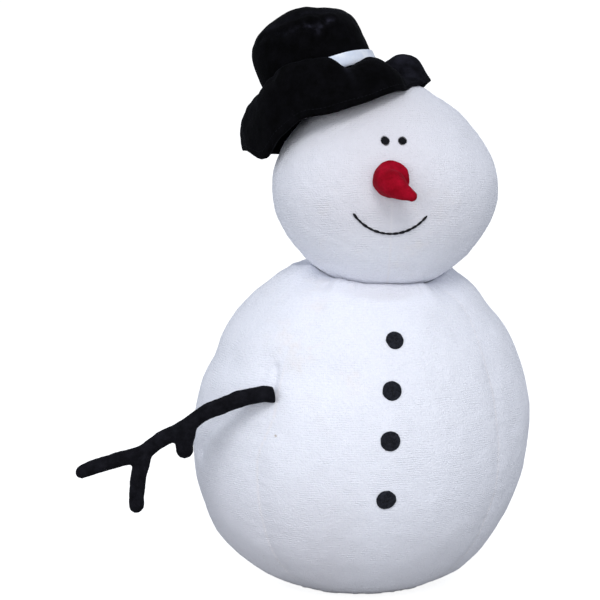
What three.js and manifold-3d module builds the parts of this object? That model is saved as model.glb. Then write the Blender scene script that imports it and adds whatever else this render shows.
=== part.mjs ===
// A stuffed cloth snowman, about 45 cm tall: a white plush body and head, a floppy black velvet hat
// with a satin band, a drooping red nose, embroidered eyes and mouth, four sewn-on discs down the
// front and one forked black arm.
//
// Millimetres, +Z up. The origin is the middle of the flat base, and the body faces -Y.
// Left and right are as seen from in front of the snowman, so left is -X.
import * as THREE from "three";
import { mergeVertices } from "three/addons/utils/BufferGeometryUtils.js";
import Module from "manifold-3d";

const wasm = await Module();
wasm.setup();

// ---------- driving dimensions ----------
const GAP = 0.4; // between pieces that touch
const SCALE_GAP = 1.006; // the same gap, as a scale about a stuffed piece's middle

// The body is a ball that is fuller below than above, standing on a flat round base. Each half is
// a rounded form: a height, and a power that is 2 for an ellipse and more for squarer sides.
const BODY = {
  halfWidth: 126.7,
  depthShare: 0.88, // depth as a share of width
  widestAt: 121,
  below: 127.5,
  belowPower: 2.3,
  above: 141.5,
  abovePower: 1.86,
};
// How far the body's middle drifts sideways with height: [height, sideways].
const BODY_LEAN = [
  [0, 0],
  [45, -4],
  [90, -2.9],
  [140, 0.6],
  [190, 2.2],
  [245, 4.7],
  [270, 5],
];

const HEAD = {
  middle: [11.4, -20, 301.5],
  turn: -9.5, // degrees: the face looks a little towards -X
  tilt: -9, // and a little up
  halfWidth: 83.8,
  halfDepth: 78,
  above: 81,
  abovePower: 1.69,
  below: 76.5,
  belowPower: 1.85,
};

const HAT = {
  middle: [-30.6, 3, 378.3], // where the crown meets the brim
  turn: -11,
  leanBack: -12.7,
  leanSide: -20,
  crownRadius: 42,
  crownHeight: 55,
  crownPowers: [3.8, 2.2], // along the height and across the dome's shoulder
  crownSkew: -3, // how far the dome leans to the left
  skewSpan: 0.8, // of half a wave, so that the lean is greatest a little above half way up
  seat: 46, // the stuffed foot of the crown reaches this far down towards the head
  seatRadius: 28,
};
const BAND = { foot: -1, width: 8.5, thick: 0.8 };
const BRIM = { thick: 3.2, gap: 0.7, headGap: 1.2, roll: 5 };
// The floppy brim, round the hat from the right (0) by the back (90), in degrees. It leaves the
// crown at the root's height, rolls up to the top, and falls to its edge, which is at a radius
// and hangs by a drop.
const BRIM_EDGE = [
  { at: 0, root: -6, top: -8, radius: 71, drop: 31 },
  { at: 25, root: -6, top: 4, radius: 77, drop: 26 },
  { at: 60, root: -5, top: 0, radius: 76, drop: 36 },
  { at: 95, root: -4, top: 2, radius: 76, drop: 42 },
  { at: 130, root: -4, top: -2, radius: 74, drop: 42 },
  { at: 160, root: -3, top: 3, radius: 72, drop: 36 },
  { at: 183, root: -1, top: 6, radius: 70, drop: 31 },
  { at: 205, root: 1, top: 9, radius: 68, drop: 33 },
  { at: 225, root: 3, top: 12, radius: 69, drop: 37 },
  { at: 245, root: 4, top: 16, radius: 66, drop: 35 },
  { at: 262, root: 3, top: 15, radius: 66, drop: 36 },
  { at: 285, root: -6, top: 0, radius: 68, drop: 36 },
  { at: 305, root: -7, top: -2, radius: 72, drop: 34 },
  { at: 328, root: -8, top: -4, radius: 74, drop: 37 },
  { at: 345, root: -8, top: -15, radius: 72, drop: 34 },
];

// On the face, side is towards the snowman's own left hand (+X) and height is from the head's middle.
const NOSE = {
  side: -0.8,
  height: -0.9,
  radius: 13.3,
  tipRadius: 3.2,
  // The soft cone's centre line from its place on the face: it starts inside the head, comes
  // forward and droops to the right, narrowing by these shares of its radius.
  line: [
    [0, 4, 0],
    [0, -1, 0],
    [0.5, -9, -1],
    [3.5, -17, -4],
    [9, -22, -9],
    [15.5, -22.5, -14],
  ],
  shares: [1, 1, 0.96, 0.8, 0.58, 0.24],
};
const EYES = [
  { name: "eye_left", side: -4.2, height: 27.3, radii: [3.1, 3.6], turn: 20 },
  { name: "eye_right", side: 7.4, height: 27.3, radii: [3.2, 3.4], turn: 0 },
];
const EYE_RISE = 1.4;
const MOUTH = { side: -0.5, height: -24.4, halfWidth: 25.7, sag: 12.5, thread: 1.15, lift: 0.75 };

const BUTTONS = [
  { name: "button_top", height: 198.3, angle: 0, radius: 6.6 },
  { name: "button_upper", height: 165.1, angle: -2, radius: 7 },
  { name: "button_lower", height: 130.9, angle: -2.4, radius: 7.3 },
  { name: "button_bottom", height: 88.9, angle: -2.2, radius: 7.2 },
];
const BUTTON_THICK = 2.4;

// The arm's centre line, from inside the body's front left out to the end twig, and its twigs.
const ARM = {
  line: [
    [-74, -70, 160.5],
    [-82, -78, 160],
    [-102, -80, 158.2],
    [-120.6, -78, 151.4],
    [-134.3, -75, 145.7],
    [-148, -71.5, 136.2],
    [-161.8, -67, 128.7],
    [-173.6, -64, 119.5],
    [-186, -61, 115.8],
    [-200.8, -58, 111.1],
    [-215.8, -55, 105.5],
  ],
  radii: [6.1, 5.3],
  middleTwig: [
    [-173.5, -63.5, 117],
    [-177.5, -63, 98],
    [-178.9, -63, 81.2],
  ],
  middleTwigRadii: [5.9, 5.4],
  shortTwig: [
    [-142.5, -71.5, 136],
    [-144.6, -71, 128],
    [-144.8, -71, 121.5],
  ],
  shortTwigRadii: [6.6, 6.2],
};

// ---------- finishes ----------
const finish = (color, roughness, metalness = 0) =>
  new THREE.MeshStandardMaterial({ color, roughness, metalness });
const whitePlush = finish(0xe9ebf4, 0.95);
const blackVelvet = finish(0x0a0a0d, 0.8);
const blackVelour = finish(0x18181d, 0.85);
const blackThread = finish(0x101014, 0.6);
const redFelt = finish(0xa01026, 0.85);
const satin = finish(0xdfe6f4, 0.3);

// ---------- shape helpers ----------
const radians = THREE.MathUtils.degToRad;
const point = (p) => new THREE.Vector3(...p);

// The half width, as a share, of a rounded form at a share t of its height: 1 at 0, 0 at 1.
const rounded = (t, power) =>
  Math.pow(Math.max(0, 1 - Math.pow(Math.min(1, Math.abs(t)), power)), 1 / power);

// A smooth curve through [position, value] knots.
function throughKnots(knots, at) {
  let i = 0;
  while (i < knots.length - 2 && knots[i + 1][0] < at) i++;
  const t = THREE.MathUtils.clamp((at - knots[i][0]) / (knots[i + 1][0] - knots[i][0]), 0, 1);
  const value = (k) => knots[THREE.MathUtils.clamp(k, 0, knots.length - 1)][1];
  const [a, b, c, d] = [value(i - 1), value(i), value(i + 1), value(i + 2)];
  return b + 0.5 * t * (c - a + t * (2 * a - 5 * b + 4 * c - d + t * (3 * (b - c) + d - a)));
}

// A closed skin over rings of points, each ring anticlockwise seen from the last one, with a point
// that closes each end.
function skin(rings, first, last) {
  const sides = rings[0].length;
  const points = [first, ...rings.flat(), last];
  const index = [];
  const at = (ring, side) => 1 + ring * sides + (side % sides);
  for (let side = 0; side < sides; side++) {
    index.push(0, at(0, side + 1), at(0, side));
    index.push(points.length - 1, at(rings.length - 1, side), at(rings.length - 1, side + 1));
    for (let ring = 0; ring < rings.length - 1; ring++) {
      index.push(at(ring, side), at(ring, side + 1), at(ring + 1, side + 1));
      index.push(at(ring, side), at(ring + 1, side + 1), at(ring + 1, side));
    }
  }
  return new THREE.BufferGeometry().setFromPoints(points).setIndex(index);
}

// A round limb along a smooth line, with a flat start and a round tip.
function limb(line, radii, sides = 12, steps = 26, rounding = 4) {
  const curve = new THREE.CatmullRomCurve3(line.map(point), false, "centripetal");
  const frames = curve.computeFrenetFrames(steps, false);
  const rings = [];
  const ring = (middle, step, radius) =>
    Array.from({ length: sides }, (_, k) => {
      const angle = (k / sides) * 2 * Math.PI;
      return middle
        .clone()
        .addScaledVector(frames.normals[step], Math.cos(angle) * radius)
        .addScaledVector(frames.binormals[step], Math.sin(angle) * radius);
    });
  for (let step = 0; step <= steps; step++) {
    const radius = THREE.MathUtils.lerp(radii[0], radii[1], step / steps);
    rings.push(ring(curve.getPointAt(step / steps), step, radius));
  }
  const tip = curve.getPointAt(1);
  const ahead = frames.tangents[steps];
  for (let k = 1; k < rounding; k++) {
    const angle = (k / rounding) * (Math.PI / 2);
    const middle = tip.clone().addScaledVector(ahead, Math.sin(angle) * radii[1]);
    rings.push(ring(middle, steps, Math.cos(angle) * radii[1]));
  }
  return skin(rings, curve.getPointAt(0), tip.clone().addScaledVector(ahead, radii[1]));
}

// A boolean solid from a closed geometry, and back.
function solid(geometry) {
  const bare = geometry.index ? geometry.clone() : mergeVertices(geometry);
  for (const name of ["normal", "uv"]) bare.deleteAttribute(name);
  const merged = mergeVertices(bare, 1e-3);
  return new wasm.Manifold(
    new wasm.Mesh({
      numProp: 3,
      vertProperties: merged.attributes.position.array,
      triVerts: new Uint32Array(merged.index.array),
    }),
  );
}

function geometryOf(made) {
  const { vertProperties, triVerts } = made.getMesh();
  return new THREE.BufferGeometry()
    .setAttribute("position", new THREE.BufferAttribute(vertProperties, 3))
    .setIndex(new THREE.BufferAttribute(triVerts, 1));
}

const snowman = new THREE.Group();

function place(name, geometry, material) {
  const mesh = new THREE.Mesh(geometry, material);
  mesh.name = name;
  snowman.add(mesh);
  return mesh;
}

// ---------- body ----------
// Half width of the body at a height, and a point of its skin at an angle from the front.
function bodyHalfWidth(z) {
  const t = z - BODY.widestAt;
  return t < 0
    ? BODY.halfWidth * rounded(t / BODY.below, BODY.belowPower)
    : BODY.halfWidth * rounded(t / BODY.above, BODY.abovePower);
}

function bodyPoint(z, angle) {
  const half = bodyHalfWidth(z);
  return new THREE.Vector3(
    throughKnots(BODY_LEAN, z) + half * Math.sin(angle),
    -BODY.depthShare * half * Math.cos(angle),
    z,
  );
}

// Heights of the rings: close together where the form turns in.
function ringHeights(lowest, middle, below, above, count) {
  const start = lowest === null ? -Math.PI / 2 : -Math.asin((middle - lowest) / below);
  return Array.from({ length: count }, (_, k) => {
    const angle = start + ((Math.PI / 2 - start) * (k + (lowest === null ? 0.6 : 0))) / count;
    return middle + Math.sin(angle) * (angle < 0 ? below : above);
  });
}

function bodySkin(sides = 42, count = 18) {
  const { widestAt, below, above } = BODY;
  const rings = ringHeights(0, widestAt, below, above, count).map((z) =>
    Array.from({ length: sides }, (_, k) => bodyPoint(z, (k / sides) * 2 * Math.PI)),
  );
  const top = widestAt + above;
  return skin(
    rings,
    new THREE.Vector3(0, 0, 0),
    new THREE.Vector3(throughKnots(BODY_LEAN, top), 0, top),
  );
}

// ---------- head ----------
// A point of the head's skin in its own frame, and the frame's place in the snowman.
const headFrame = new THREE.Matrix4()
  .makeRotationFromEuler(new THREE.Euler(radians(HEAD.tilt), 0, radians(HEAD.turn), "ZXY"))
  .setPosition(point(HEAD.middle));

function headShare(z) {
  return z < 0 ? rounded(z / HEAD.below, HEAD.belowPower) : rounded(z / HEAD.above, HEAD.abovePower);
}

function headSkin(sides = 40, count = 16) {
  const rings = ringHeights(null, 0, HEAD.below, HEAD.above, count).map((z) =>
    Array.from({ length: sides }, (_, k) => {
      const angle = (k / sides) * 2 * Math.PI;
      const share = headShare(z);
      return new THREE.Vector3(
        HEAD.halfWidth * share * Math.sin(angle),
        -HEAD.halfDepth * share * Math.cos(angle),
        z,
      );
    }),
  );
  return skin(rings, new THREE.Vector3(0, 0, -HEAD.below), new THREE.Vector3(0, 0, HEAD.above));
}

// The place on the face at a sideways distance and a height, and the direction it faces.
function facePoint(side, height) {
  const share = headShare(height);
  const across = side / (HEAD.halfWidth * share);
  return new THREE.Vector3(side, -HEAD.halfDepth * share * Math.sqrt(1 - across * across), height);
}

function faceNormal(side, height) {
  const step = 0.5;
  const along = facePoint(side + step, height).sub(facePoint(side - step, height));
  const up = facePoint(side, height + step).sub(facePoint(side, height - step));
  return along.cross(up).normalize();
}

const headGeometry = headSkin();
const headRoom = solid(
  headGeometry.clone().scale(SCALE_GAP, SCALE_GAP, SCALE_GAP).applyMatrix4(headFrame),
);
const bodyGeometry = bodySkin();
place("body", geometryOf(solid(bodyGeometry).subtract(headRoom)), whitePlush);
place("head", headGeometry.clone().applyMatrix4(headFrame), whitePlush);

// ---------- face ----------
// A lens that lies on a skin: flat behind and domed in front, in a frame whose +Y points away from
// the skin.
function lens(radius, rise, sides = 16) {
  const profile = [
    [0, 0],
    [radius * 0.97, 0],
    [radius, rise * 0.3],
    [radius * 0.9, rise * 0.75],
    [radius * 0.55, rise * 0.97],
    [0, rise],
  ].map((p) => new THREE.Vector2(...p));
  return new THREE.LatheGeometry(profile, sides);
}

// Turns +Y to a direction and moves the origin to a place.
function facing(direction, place) {
  const turn = new THREE.Quaternion().setFromUnitVectors(new THREE.Vector3(0, 1, 0), direction);
  return new THREE.Matrix4().compose(place, turn, new THREE.Vector3(1, 1, 1));
}

for (const eye of EYES) {
  const normal = faceNormal(eye.side, eye.height);
  const foot = facePoint(eye.side, eye.height).addScaledVector(normal, GAP);
  const geometry = lens(1, EYE_RISE)
    .scale(eye.radii[0], 1, eye.radii[1])
    .rotateY(radians(eye.turn))
    .applyMatrix4(facing(normal, foot))
    .applyMatrix4(headFrame);
  place(eye.name, geometry, blackThread);
}

// The nose's rings follow its centre line, and the last few round its tip.
function noseSkin(sides = 18, steps = 11, rounding = 4) {
  const foot = facePoint(NOSE.side, NOSE.height);
  const line = NOSE.line.map((p) => point(p).add(foot));
  const shares = NOSE.shares.map((share, k) => [k / (NOSE.shares.length - 1), share]);
  const curve = new THREE.CatmullRomCurve3(line, false, "centripetal");
  const forward = new THREE.Vector3(0, -1, 0);
  const rings = [];
  for (let step = 0; step < steps + rounding; step++) {
    const t = Math.min(1, step / steps);
    const ahead = curve.getTangentAt(t);
    const share = throughKnots(shares, t);
    const past = (Math.max(0, step - steps) / rounding) * (Math.PI / 2);
    const radius = NOSE.radius * share * Math.cos(past);
    const middle = curve
      .getPointAt(t)
      .addScaledVector(ahead, Math.sin(past) * NOSE.radius * share);
    const turn = new THREE.Quaternion().setFromUnitVectors(forward, ahead);
    rings.push(
      Array.from({ length: sides }, (_, k) => {
        const angle = (k / sides) * 2 * Math.PI;
        return new THREE.Vector3(radius * Math.cos(angle), 0, radius * Math.sin(angle))
          .applyQuaternion(turn)
          .add(middle);
      }),
    );
  }
  const tip = curve.getPointAt(1).addScaledVector(curve.getTangentAt(1), NOSE.tipRadius);
  return skin(rings, curve.getPointAt(0), tip).applyMatrix4(headFrame);
}
place("nose", geometryOf(solid(noseSkin()).subtract(headRoom)), redFelt);

// The mouth is one line of thread that lies on the face along an arc.
function mouthSkin(points = 17) {
  const radius = (MOUTH.halfWidth ** 2 + MOUTH.sag ** 2) / (2 * MOUTH.sag);
  const reach = Math.asin(MOUTH.halfWidth / radius);
  const line = Array.from({ length: points }, (_, k) => {
    const angle = ((2 * k) / (points - 1) - 1) * reach;
    const side = MOUTH.side + radius * Math.sin(angle);
    const height = MOUTH.height - radius * (Math.cos(angle) - Math.cos(reach));
    return facePoint(side, height)
      .addScaledVector(faceNormal(side, height), MOUTH.thread * MOUTH.lift)
      .toArray();
  });
  return limb(line, [MOUTH.thread, MOUTH.thread], 6, 20, 2).applyMatrix4(headFrame);
}
place("mouth", geometryOf(solid(mouthSkin()).subtract(headRoom)), blackThread);

// ---------- buttons ----------
function bodyNormal(z, angle) {
  const step = 0.01;
  const along = bodyPoint(z, angle + step).sub(bodyPoint(z, angle - step));
  const up = bodyPoint(z + 1, angle).sub(bodyPoint(z - 1, angle));
  return along.cross(up).normalize();
}

for (const { name, height, angle, radius } of BUTTONS) {
  const normal = bodyNormal(height, radians(angle));
  const foot = bodyPoint(height, radians(angle)).addScaledVector(normal, GAP);
  place(name, lens(radius, BUTTON_THICK, 20).applyMatrix4(facing(normal, foot)), blackVelour);
}

// ---------- arm ----------
const bodyRoom = solid(
  bodyGeometry
    .clone()
    .translate(0, 0, -BODY.widestAt)
    .scale(SCALE_GAP, SCALE_GAP, SCALE_GAP)
    .translate(0, 0, BODY.widestAt),
);
const arm = solid(limb(ARM.line, ARM.radii))
  .add(solid(limb(ARM.middleTwig, ARM.middleTwigRadii, 12, 6)))
  .add(solid(limb(ARM.shortTwig, ARM.shortTwigRadii, 12, 4)))
  .subtract(bodyRoom);
place("arm", geometryOf(arm), blackVelour);

// ---------- hat ----------
// The hat's own frame: +X to the right along its foot, +Y to the back, +Z up its crown.
const hatFrame = new THREE.Matrix4()
  .makeRotationFromEuler(
    new THREE.Euler(radians(HAT.leanBack), radians(HAT.leanSide), radians(HAT.turn), "ZXY"),
  )
  .setPosition(point(HAT.middle));

function crownRadius(n) {
  const [rise, corner] = HAT.crownPowers;
  if (n <= 0) return THREE.MathUtils.lerp(HAT.crownRadius, HAT.seatRadius, -n / HAT.seat);
  return HAT.crownRadius * Math.pow(1 - Math.pow(Math.min(1, n / HAT.crownHeight), rise), 1 / corner);
}

const crownDrift = (n) =>
  HAT.crownSkew * Math.sin(Math.PI * Math.max(0, n / HAT.crownHeight) * HAT.skewSpan);

function crownRing(n, extra = 0, sides = 36) {
  return Array.from({ length: sides }, (_, k) => {
    const angle = (k / sides) * 2 * Math.PI;
    const radius = crownRadius(n) + extra;
    return new THREE.Vector3(
      crownDrift(n) + radius * Math.cos(angle),
      radius * Math.sin(angle),
      n,
    );
  });
}

function crownSkin(steps = 11) {
  const upper = Array.from(
    { length: steps },
    (_, k) => HAT.crownHeight * Math.sin((k / steps) * (Math.PI / 2)),
  );
  const heights = [-HAT.seat, -HAT.seat / 2, ...upper];
  return skin(
    heights.map((n) => crownRing(n)),
    new THREE.Vector3(0, 0, -HAT.seat),
    new THREE.Vector3(crownDrift(HAT.crownHeight), 0, HAT.crownHeight),
  ).applyMatrix4(hatFrame);
}
place("hat_crown", geometryOf(solid(crownSkin()).subtract(headRoom)), blackVelvet);

// A closed ring of cloth: loops of points round the hat, the last joined to the first.
function hoop(loops) {
  const sides = loops[0].length;
  const index = [];
  const at = (loop, side) => (loop % loops.length) * sides + (side % sides);
  for (let loop = 0; loop < loops.length; loop++) {
    for (let side = 0; side < sides; side++) {
      index.push(at(loop, side), at(loop, side + 1), at(loop + 1, side + 1));
      index.push(at(loop, side), at(loop + 1, side + 1), at(loop + 1, side));
    }
  }
  return new THREE.BufferGeometry().setFromPoints(loops.flat()).setIndex(index);
}

const bandLevels = [0, 0.4, 1].map((t) => BAND.foot + t * BAND.width);
place(
  "hat_band",
  hoop([
    ...bandLevels.map((n) => crownRing(n, GAP + BAND.thick)),
    ...bandLevels.reverse().map((n) => crownRing(n, GAP)),
  ]).applyMatrix4(hatFrame),
  satin,
);

// The brim's middle surface at an angle and a share of its width, kept clear of the head.
const brimClearance = BRIM.thick / 2 + BRIM.headGap;
const toHead = headFrame.clone().invert();

function clearOfHead(p) {
  const local = p.clone().applyMatrix4(toHead);
  const [height, power] =
    local.z < 0 ? [HEAD.below, HEAD.belowPower] : [HEAD.above, HEAD.abovePower];
  const level = Math.pow(
    Math.pow(Math.hypot(local.x / HEAD.halfWidth, local.y / HEAD.halfDepth), power) +
      Math.pow(Math.abs(local.z) / height, power),
    1 / power,
  );
  const wanted = 1 + brimClearance / HEAD.above;
  if (level < wanted) local.multiplyScalar(wanted / level);
  return local.applyMatrix4(headFrame);
}

// One of the brim's fields at an angle, smoothly through its knots and round a full turn.
function brimAt(degrees, field) {
  const turn = ((degrees % 360) + 360) % 360;
  const knots = [-1, 0, 1].flatMap((lap) =>
    BRIM_EDGE.map((knot) => [knot.at + lap * 360, knot[field]]),
  );
  return throughKnots(knots, turn);
}

function brimPoint(degrees, share) {
  const [root, top, radius, drop] = ["root", "top", "radius", "drop"].map((field) =>
    brimAt(degrees, field),
  );
  const start = HAT.crownRadius + GAP + BAND.thick + BRIM.gap + BRIM.thick / 2;
  const fall = new THREE.CubicBezierCurve(
    new THREE.Vector2(start, root),
    new THREE.Vector2(start + BRIM.roll, top),
    new THREE.Vector2(radius, top / 2 - BRIM.roll),
    new THREE.Vector2(radius, -drop),
  );
  const { x: out, y: height } = fall.getPoint(share);
  const angle = radians(degrees);
  const p = new THREE.Vector3(out * Math.cos(angle), out * Math.sin(angle), height);
  return clearOfHead(p.applyMatrix4(hatFrame));
}

function brimSkin(sides = 60, steps = 7) {
  const sideOf = (offset) => (share) =>
    Array.from({ length: sides }, (_, k) => {
      const degrees = (k / sides) * 360;
      const step = 0.02;
      const along = brimPoint(degrees + 1, share).sub(brimPoint(degrees - 1, share));
      const out = brimPoint(degrees, Math.min(1, share + step)).sub(
        brimPoint(degrees, Math.max(0, share - step)),
      );
      const up = out.cross(along).normalize();
      return brimPoint(degrees, share).addScaledVector(up, offset);
    });
  const shares = Array.from({ length: steps + 1 }, (_, k) => k / steps);
  return hoop([
    ...shares.map(sideOf(-BRIM.thick / 2)),
    ...shares.reverse().map(sideOf(BRIM.thick / 2)),
  ]);
}
place("hat_brim", brimSkin(), blackVelvet);

export default snowman;
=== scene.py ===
# %% [markdown]
# # A stuffed cloth snowman
#
# Two stuffed balls of short white plush stand on a flat base. The head wears a floppy black velvet
# hat with a satin band. The nose is a drooping cone of red velour, the eyes and the mouth are
# sewn in black thread, four felt discs go down the front, and one forked velour arm is set in the
# front seam, on the left as it is seen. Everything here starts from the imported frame: the sizes
# and places of the soft skins are measured on its solids, so the looks can't drift from them.

import math

import bmesh
import bpy
import numpy as np
from mathutils import Matrix, Vector, noise
from mathutils.bvhtree import BVHTree


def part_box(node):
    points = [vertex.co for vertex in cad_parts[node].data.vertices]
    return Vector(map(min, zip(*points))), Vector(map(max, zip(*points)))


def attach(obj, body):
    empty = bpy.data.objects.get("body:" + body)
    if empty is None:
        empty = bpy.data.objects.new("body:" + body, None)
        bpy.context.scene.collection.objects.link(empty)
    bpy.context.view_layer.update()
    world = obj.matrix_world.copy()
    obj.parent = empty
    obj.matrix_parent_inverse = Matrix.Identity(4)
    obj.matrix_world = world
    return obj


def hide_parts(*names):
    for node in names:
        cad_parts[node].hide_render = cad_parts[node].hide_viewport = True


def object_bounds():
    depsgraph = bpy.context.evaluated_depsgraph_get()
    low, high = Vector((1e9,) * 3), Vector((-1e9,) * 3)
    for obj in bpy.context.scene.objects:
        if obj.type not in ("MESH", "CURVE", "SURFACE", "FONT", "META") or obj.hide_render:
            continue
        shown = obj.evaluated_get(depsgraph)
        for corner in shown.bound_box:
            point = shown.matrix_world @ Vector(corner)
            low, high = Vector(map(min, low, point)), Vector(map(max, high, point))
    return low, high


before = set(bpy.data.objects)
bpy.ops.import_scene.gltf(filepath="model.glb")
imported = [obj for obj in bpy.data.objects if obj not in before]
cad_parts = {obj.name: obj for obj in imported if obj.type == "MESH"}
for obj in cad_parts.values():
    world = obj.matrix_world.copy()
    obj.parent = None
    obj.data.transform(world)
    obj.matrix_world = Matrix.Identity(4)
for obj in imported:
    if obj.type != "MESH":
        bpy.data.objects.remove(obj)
cad_box = [list(corner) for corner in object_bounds()]
MM = 0.001
TURN = 2 * math.pi
print("frame box", [[round(x, 4) for x in corner] for corner in cad_box])

# %% [markdown]
# ## Camera, floor and light
#
# The view is from a little to the snowman's right and a little above, with a long lens, so that
# the ball shapes stay true. The room is a white studio: a pale floor that runs out of sight, a
# soft key light high in front, a wide cool one from the left, a low one that opens the shadows
# under the balls, a small one near the lens for the nose's shadow, and a pale world.

# %% Camera
VIEW_AZIMUTH = math.radians(-11)
VIEW_ELEVATION = math.radians(8)
VIEW_DISTANCE = 1.453
LENS = 117.6
AIM_SHIFT = Vector((-1.7, 0.3, 1.0)) * MM

box_middle = (Vector(cad_box[0]) + Vector(cad_box[1])) / 2
towards_camera = Vector(
    (
        math.sin(VIEW_AZIMUTH) * math.cos(VIEW_ELEVATION),
        -math.cos(VIEW_AZIMUTH) * math.cos(VIEW_ELEVATION),
        math.sin(VIEW_ELEVATION),
    )
)
camera_data = bpy.data.cameras.new("camera")
camera_data.lens = LENS
camera_data.sensor_width = 36
camera = bpy.data.objects.new("camera", camera_data)
camera.location = box_middle + AIM_SHIFT + towards_camera * VIEW_DISTANCE
camera.rotation_euler = towards_camera.to_track_quat("Z", "Y").to_euler()
bpy.context.collection.objects.link(camera)
bpy.context.scene.camera = camera
print("camera", [round(x, 3) for x in camera.location])


# %% Floor, world and lights
def node_tree(material):
    material.use_nodes = True
    material.node_tree.nodes.clear()
    return material.node_tree.nodes, material.node_tree.links


def make_floor():
    size = 30
    mesh = bpy.data.meshes.new("floor")
    corners = [(-size, -size, 0), (size, -size, 0), (size, size, 0), (-size, size, 0)]
    mesh.from_pydata(corners, [], [(0, 1, 2, 3)])
    floor = bpy.data.objects.new("floor", mesh)
    bpy.context.collection.objects.link(floor)
    material = bpy.data.materials.new("studio_floor")
    nodes, links = node_tree(material)
    output = nodes.new("ShaderNodeOutputMaterial")
    diffuse = nodes.new("ShaderNodeBsdfDiffuse")
    diffuse.inputs["Color"].default_value = (0.5, 0.5, 0.5, 1)
    glow = nodes.new("ShaderNodeEmission")
    glow.inputs["Strength"].default_value = 0.86
    path = nodes.new("ShaderNodeLightPath")
    seen = nodes.new("ShaderNodeMixShader")
    both = nodes.new("ShaderNodeAddShader")
    black = nodes.new("ShaderNodeEmission")
    black.inputs["Strength"].default_value = 0
    links.new(path.outputs["Is Camera Ray"], seen.inputs[0])
    links.new(black.outputs[0], seen.inputs[1])
    links.new(glow.outputs[0], seen.inputs[2])
    links.new(diffuse.outputs[0], both.inputs[0])
    links.new(seen.outputs[0], both.inputs[1])
    links.new(both.outputs[0], output.inputs["Surface"])
    mesh.materials.append(material)


def make_world(strength):
    world = bpy.data.worlds.new("studio")
    bpy.context.scene.world = world
    world.use_nodes = True
    nodes, links = world.node_tree.nodes, world.node_tree.links
    nodes.clear()
    output = nodes.new("ShaderNodeOutputWorld")
    lit = nodes.new("ShaderNodeBackground")
    lit.inputs["Color"].default_value = (0.86, 0.91, 1, 1)
    lit.inputs["Strength"].default_value = strength
    seen = nodes.new("ShaderNodeBackground")
    seen.inputs["Strength"].default_value = 1.3
    path = nodes.new("ShaderNodeLightPath")
    mix = nodes.new("ShaderNodeMixShader")
    links.new(path.outputs["Is Camera Ray"], mix.inputs[0])
    links.new(lit.outputs[0], mix.inputs[1])
    links.new(seen.outputs[0], mix.inputs[2])
    links.new(mix.outputs[0], output.inputs["Surface"])


def soft_light(name, place, size, watts, colour):
    data = bpy.data.lights.new(name, "AREA")
    data.shape = "DISK"
    data.size = size
    data.energy = watts
    data.color = colour
    light = bpy.data.objects.new(name, data)
    light.location = place
    light.rotation_euler = (Vector(place) - box_middle).to_track_quat("Z", "Y").to_euler()
    bpy.context.collection.objects.link(light)


make_floor()
make_world(0.6)
soft_light("key", (-0.15, -1.5, 1.6), 0.75, 13.3, (1, 0.99, 0.985))
soft_light("fill", (-1.6, -1.3, 0.8), 1.6, 10.5, (0.93, 0.96, 1))
soft_light("low_fill", (0.3, -1.9, 0.25), 1.4, 5.5, (1, 0.99, 0.98))
soft_light("near_lens", (-0.75, -1.75, 0.62), 0.35, 2.2, (1, 0.99, 0.98))
bpy.context.scene.view_settings.view_transform = "Standard"
print("floor, world and", len(bpy.data.lights), "lights")

# %% [markdown]
# ## Helpers for soft skins
#
# A stuffed piece is sewn from flat panels and swells between its seams. Each one is built the
# same way: rings of points are measured on its solid in the frame, joined into a coarse skin, and
# blown up gently as cloth with its seams held still. The swollen skin is then subdivided, and the
# seams, dents and the pile are pressed into it. The rings come first, so that every point knows
# how far round and how far up it is, which the ribs of the cloth follow later.


# %% Measure a solid of the frame
def surface_tree(piece):
    """A search tree over a piece's faces, to cast rays at and to find its nearest places."""
    mesh = piece.data
    points = [v.co.copy() for v in mesh.vertices]
    return BVHTree.FromPolygons(points, [tuple(p.vertices) for p in mesh.polygons])


def reach_inward(tree, middle, direction, reach=0.4):
    """How far the outside of a solid is from a middle, along a direction."""
    place, _, _, _ = tree.ray_cast(middle + direction * reach, -direction)
    return None if place is None else (place - middle).dot(direction)


def blurred(values, steps, wrap):
    """Evens out the facets of a measured grid, along its second axis if wrap and else its first."""
    for _ in range(steps):
        if wrap:
            values = (np.roll(values, 1, 1) + 2 * values + np.roll(values, -1, 1)) / 4
        else:
            padded = np.concatenate([values[:1], values, values[-1:]])
            values = (padded[:-2] + 2 * padded[1:-1] + padded[2:]) / 4
    return values


# %% Join rings into a skin
def skin(name, rings, first=None, last=None):
    """A closed quad skin over rings of points, with a fan at each end that has a point."""
    rings = np.asarray(rings)
    count, sides = rings.shape[:2]
    points = list(rings.reshape(-1, 3))
    faces = []
    for ring in range(count - 1):
        for side in range(sides):
            a, b = ring * sides + side, ring * sides + (side + 1) % sides
            faces.append((a, b, b + sides, a + sides))
    for point, ring, flip in ((first, 0, True), (last, count - 1, False)):
        if point is None:
            continue
        points.append(np.array(point))
        for side in range(sides):
            a, b = ring * sides + side, ring * sides + (side + 1) % sides
            faces.append((b, a, len(points) - 1) if flip else (a, b, len(points) - 1))
    mesh = bpy.data.meshes.new(name)
    mesh.from_pydata([tuple(p) for p in points], [], faces)
    piece = bpy.data.objects.new(name, mesh)
    bpy.context.collection.objects.link(piece)
    return piece


def get_points(piece):
    flat = np.empty(len(piece.data.vertices) * 3)
    piece.data.vertices.foreach_get("co", flat)
    return flat.reshape(-1, 3)


def set_points(piece, points):
    piece.data.vertices.foreach_set("co", points.ravel())
    piece.data.update()


def get_normals(piece):
    flat = np.empty(len(piece.data.vertices) * 3)
    piece.data.vertex_normals.foreach_get("vector", flat)
    return flat.reshape(-1, 3)


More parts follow.
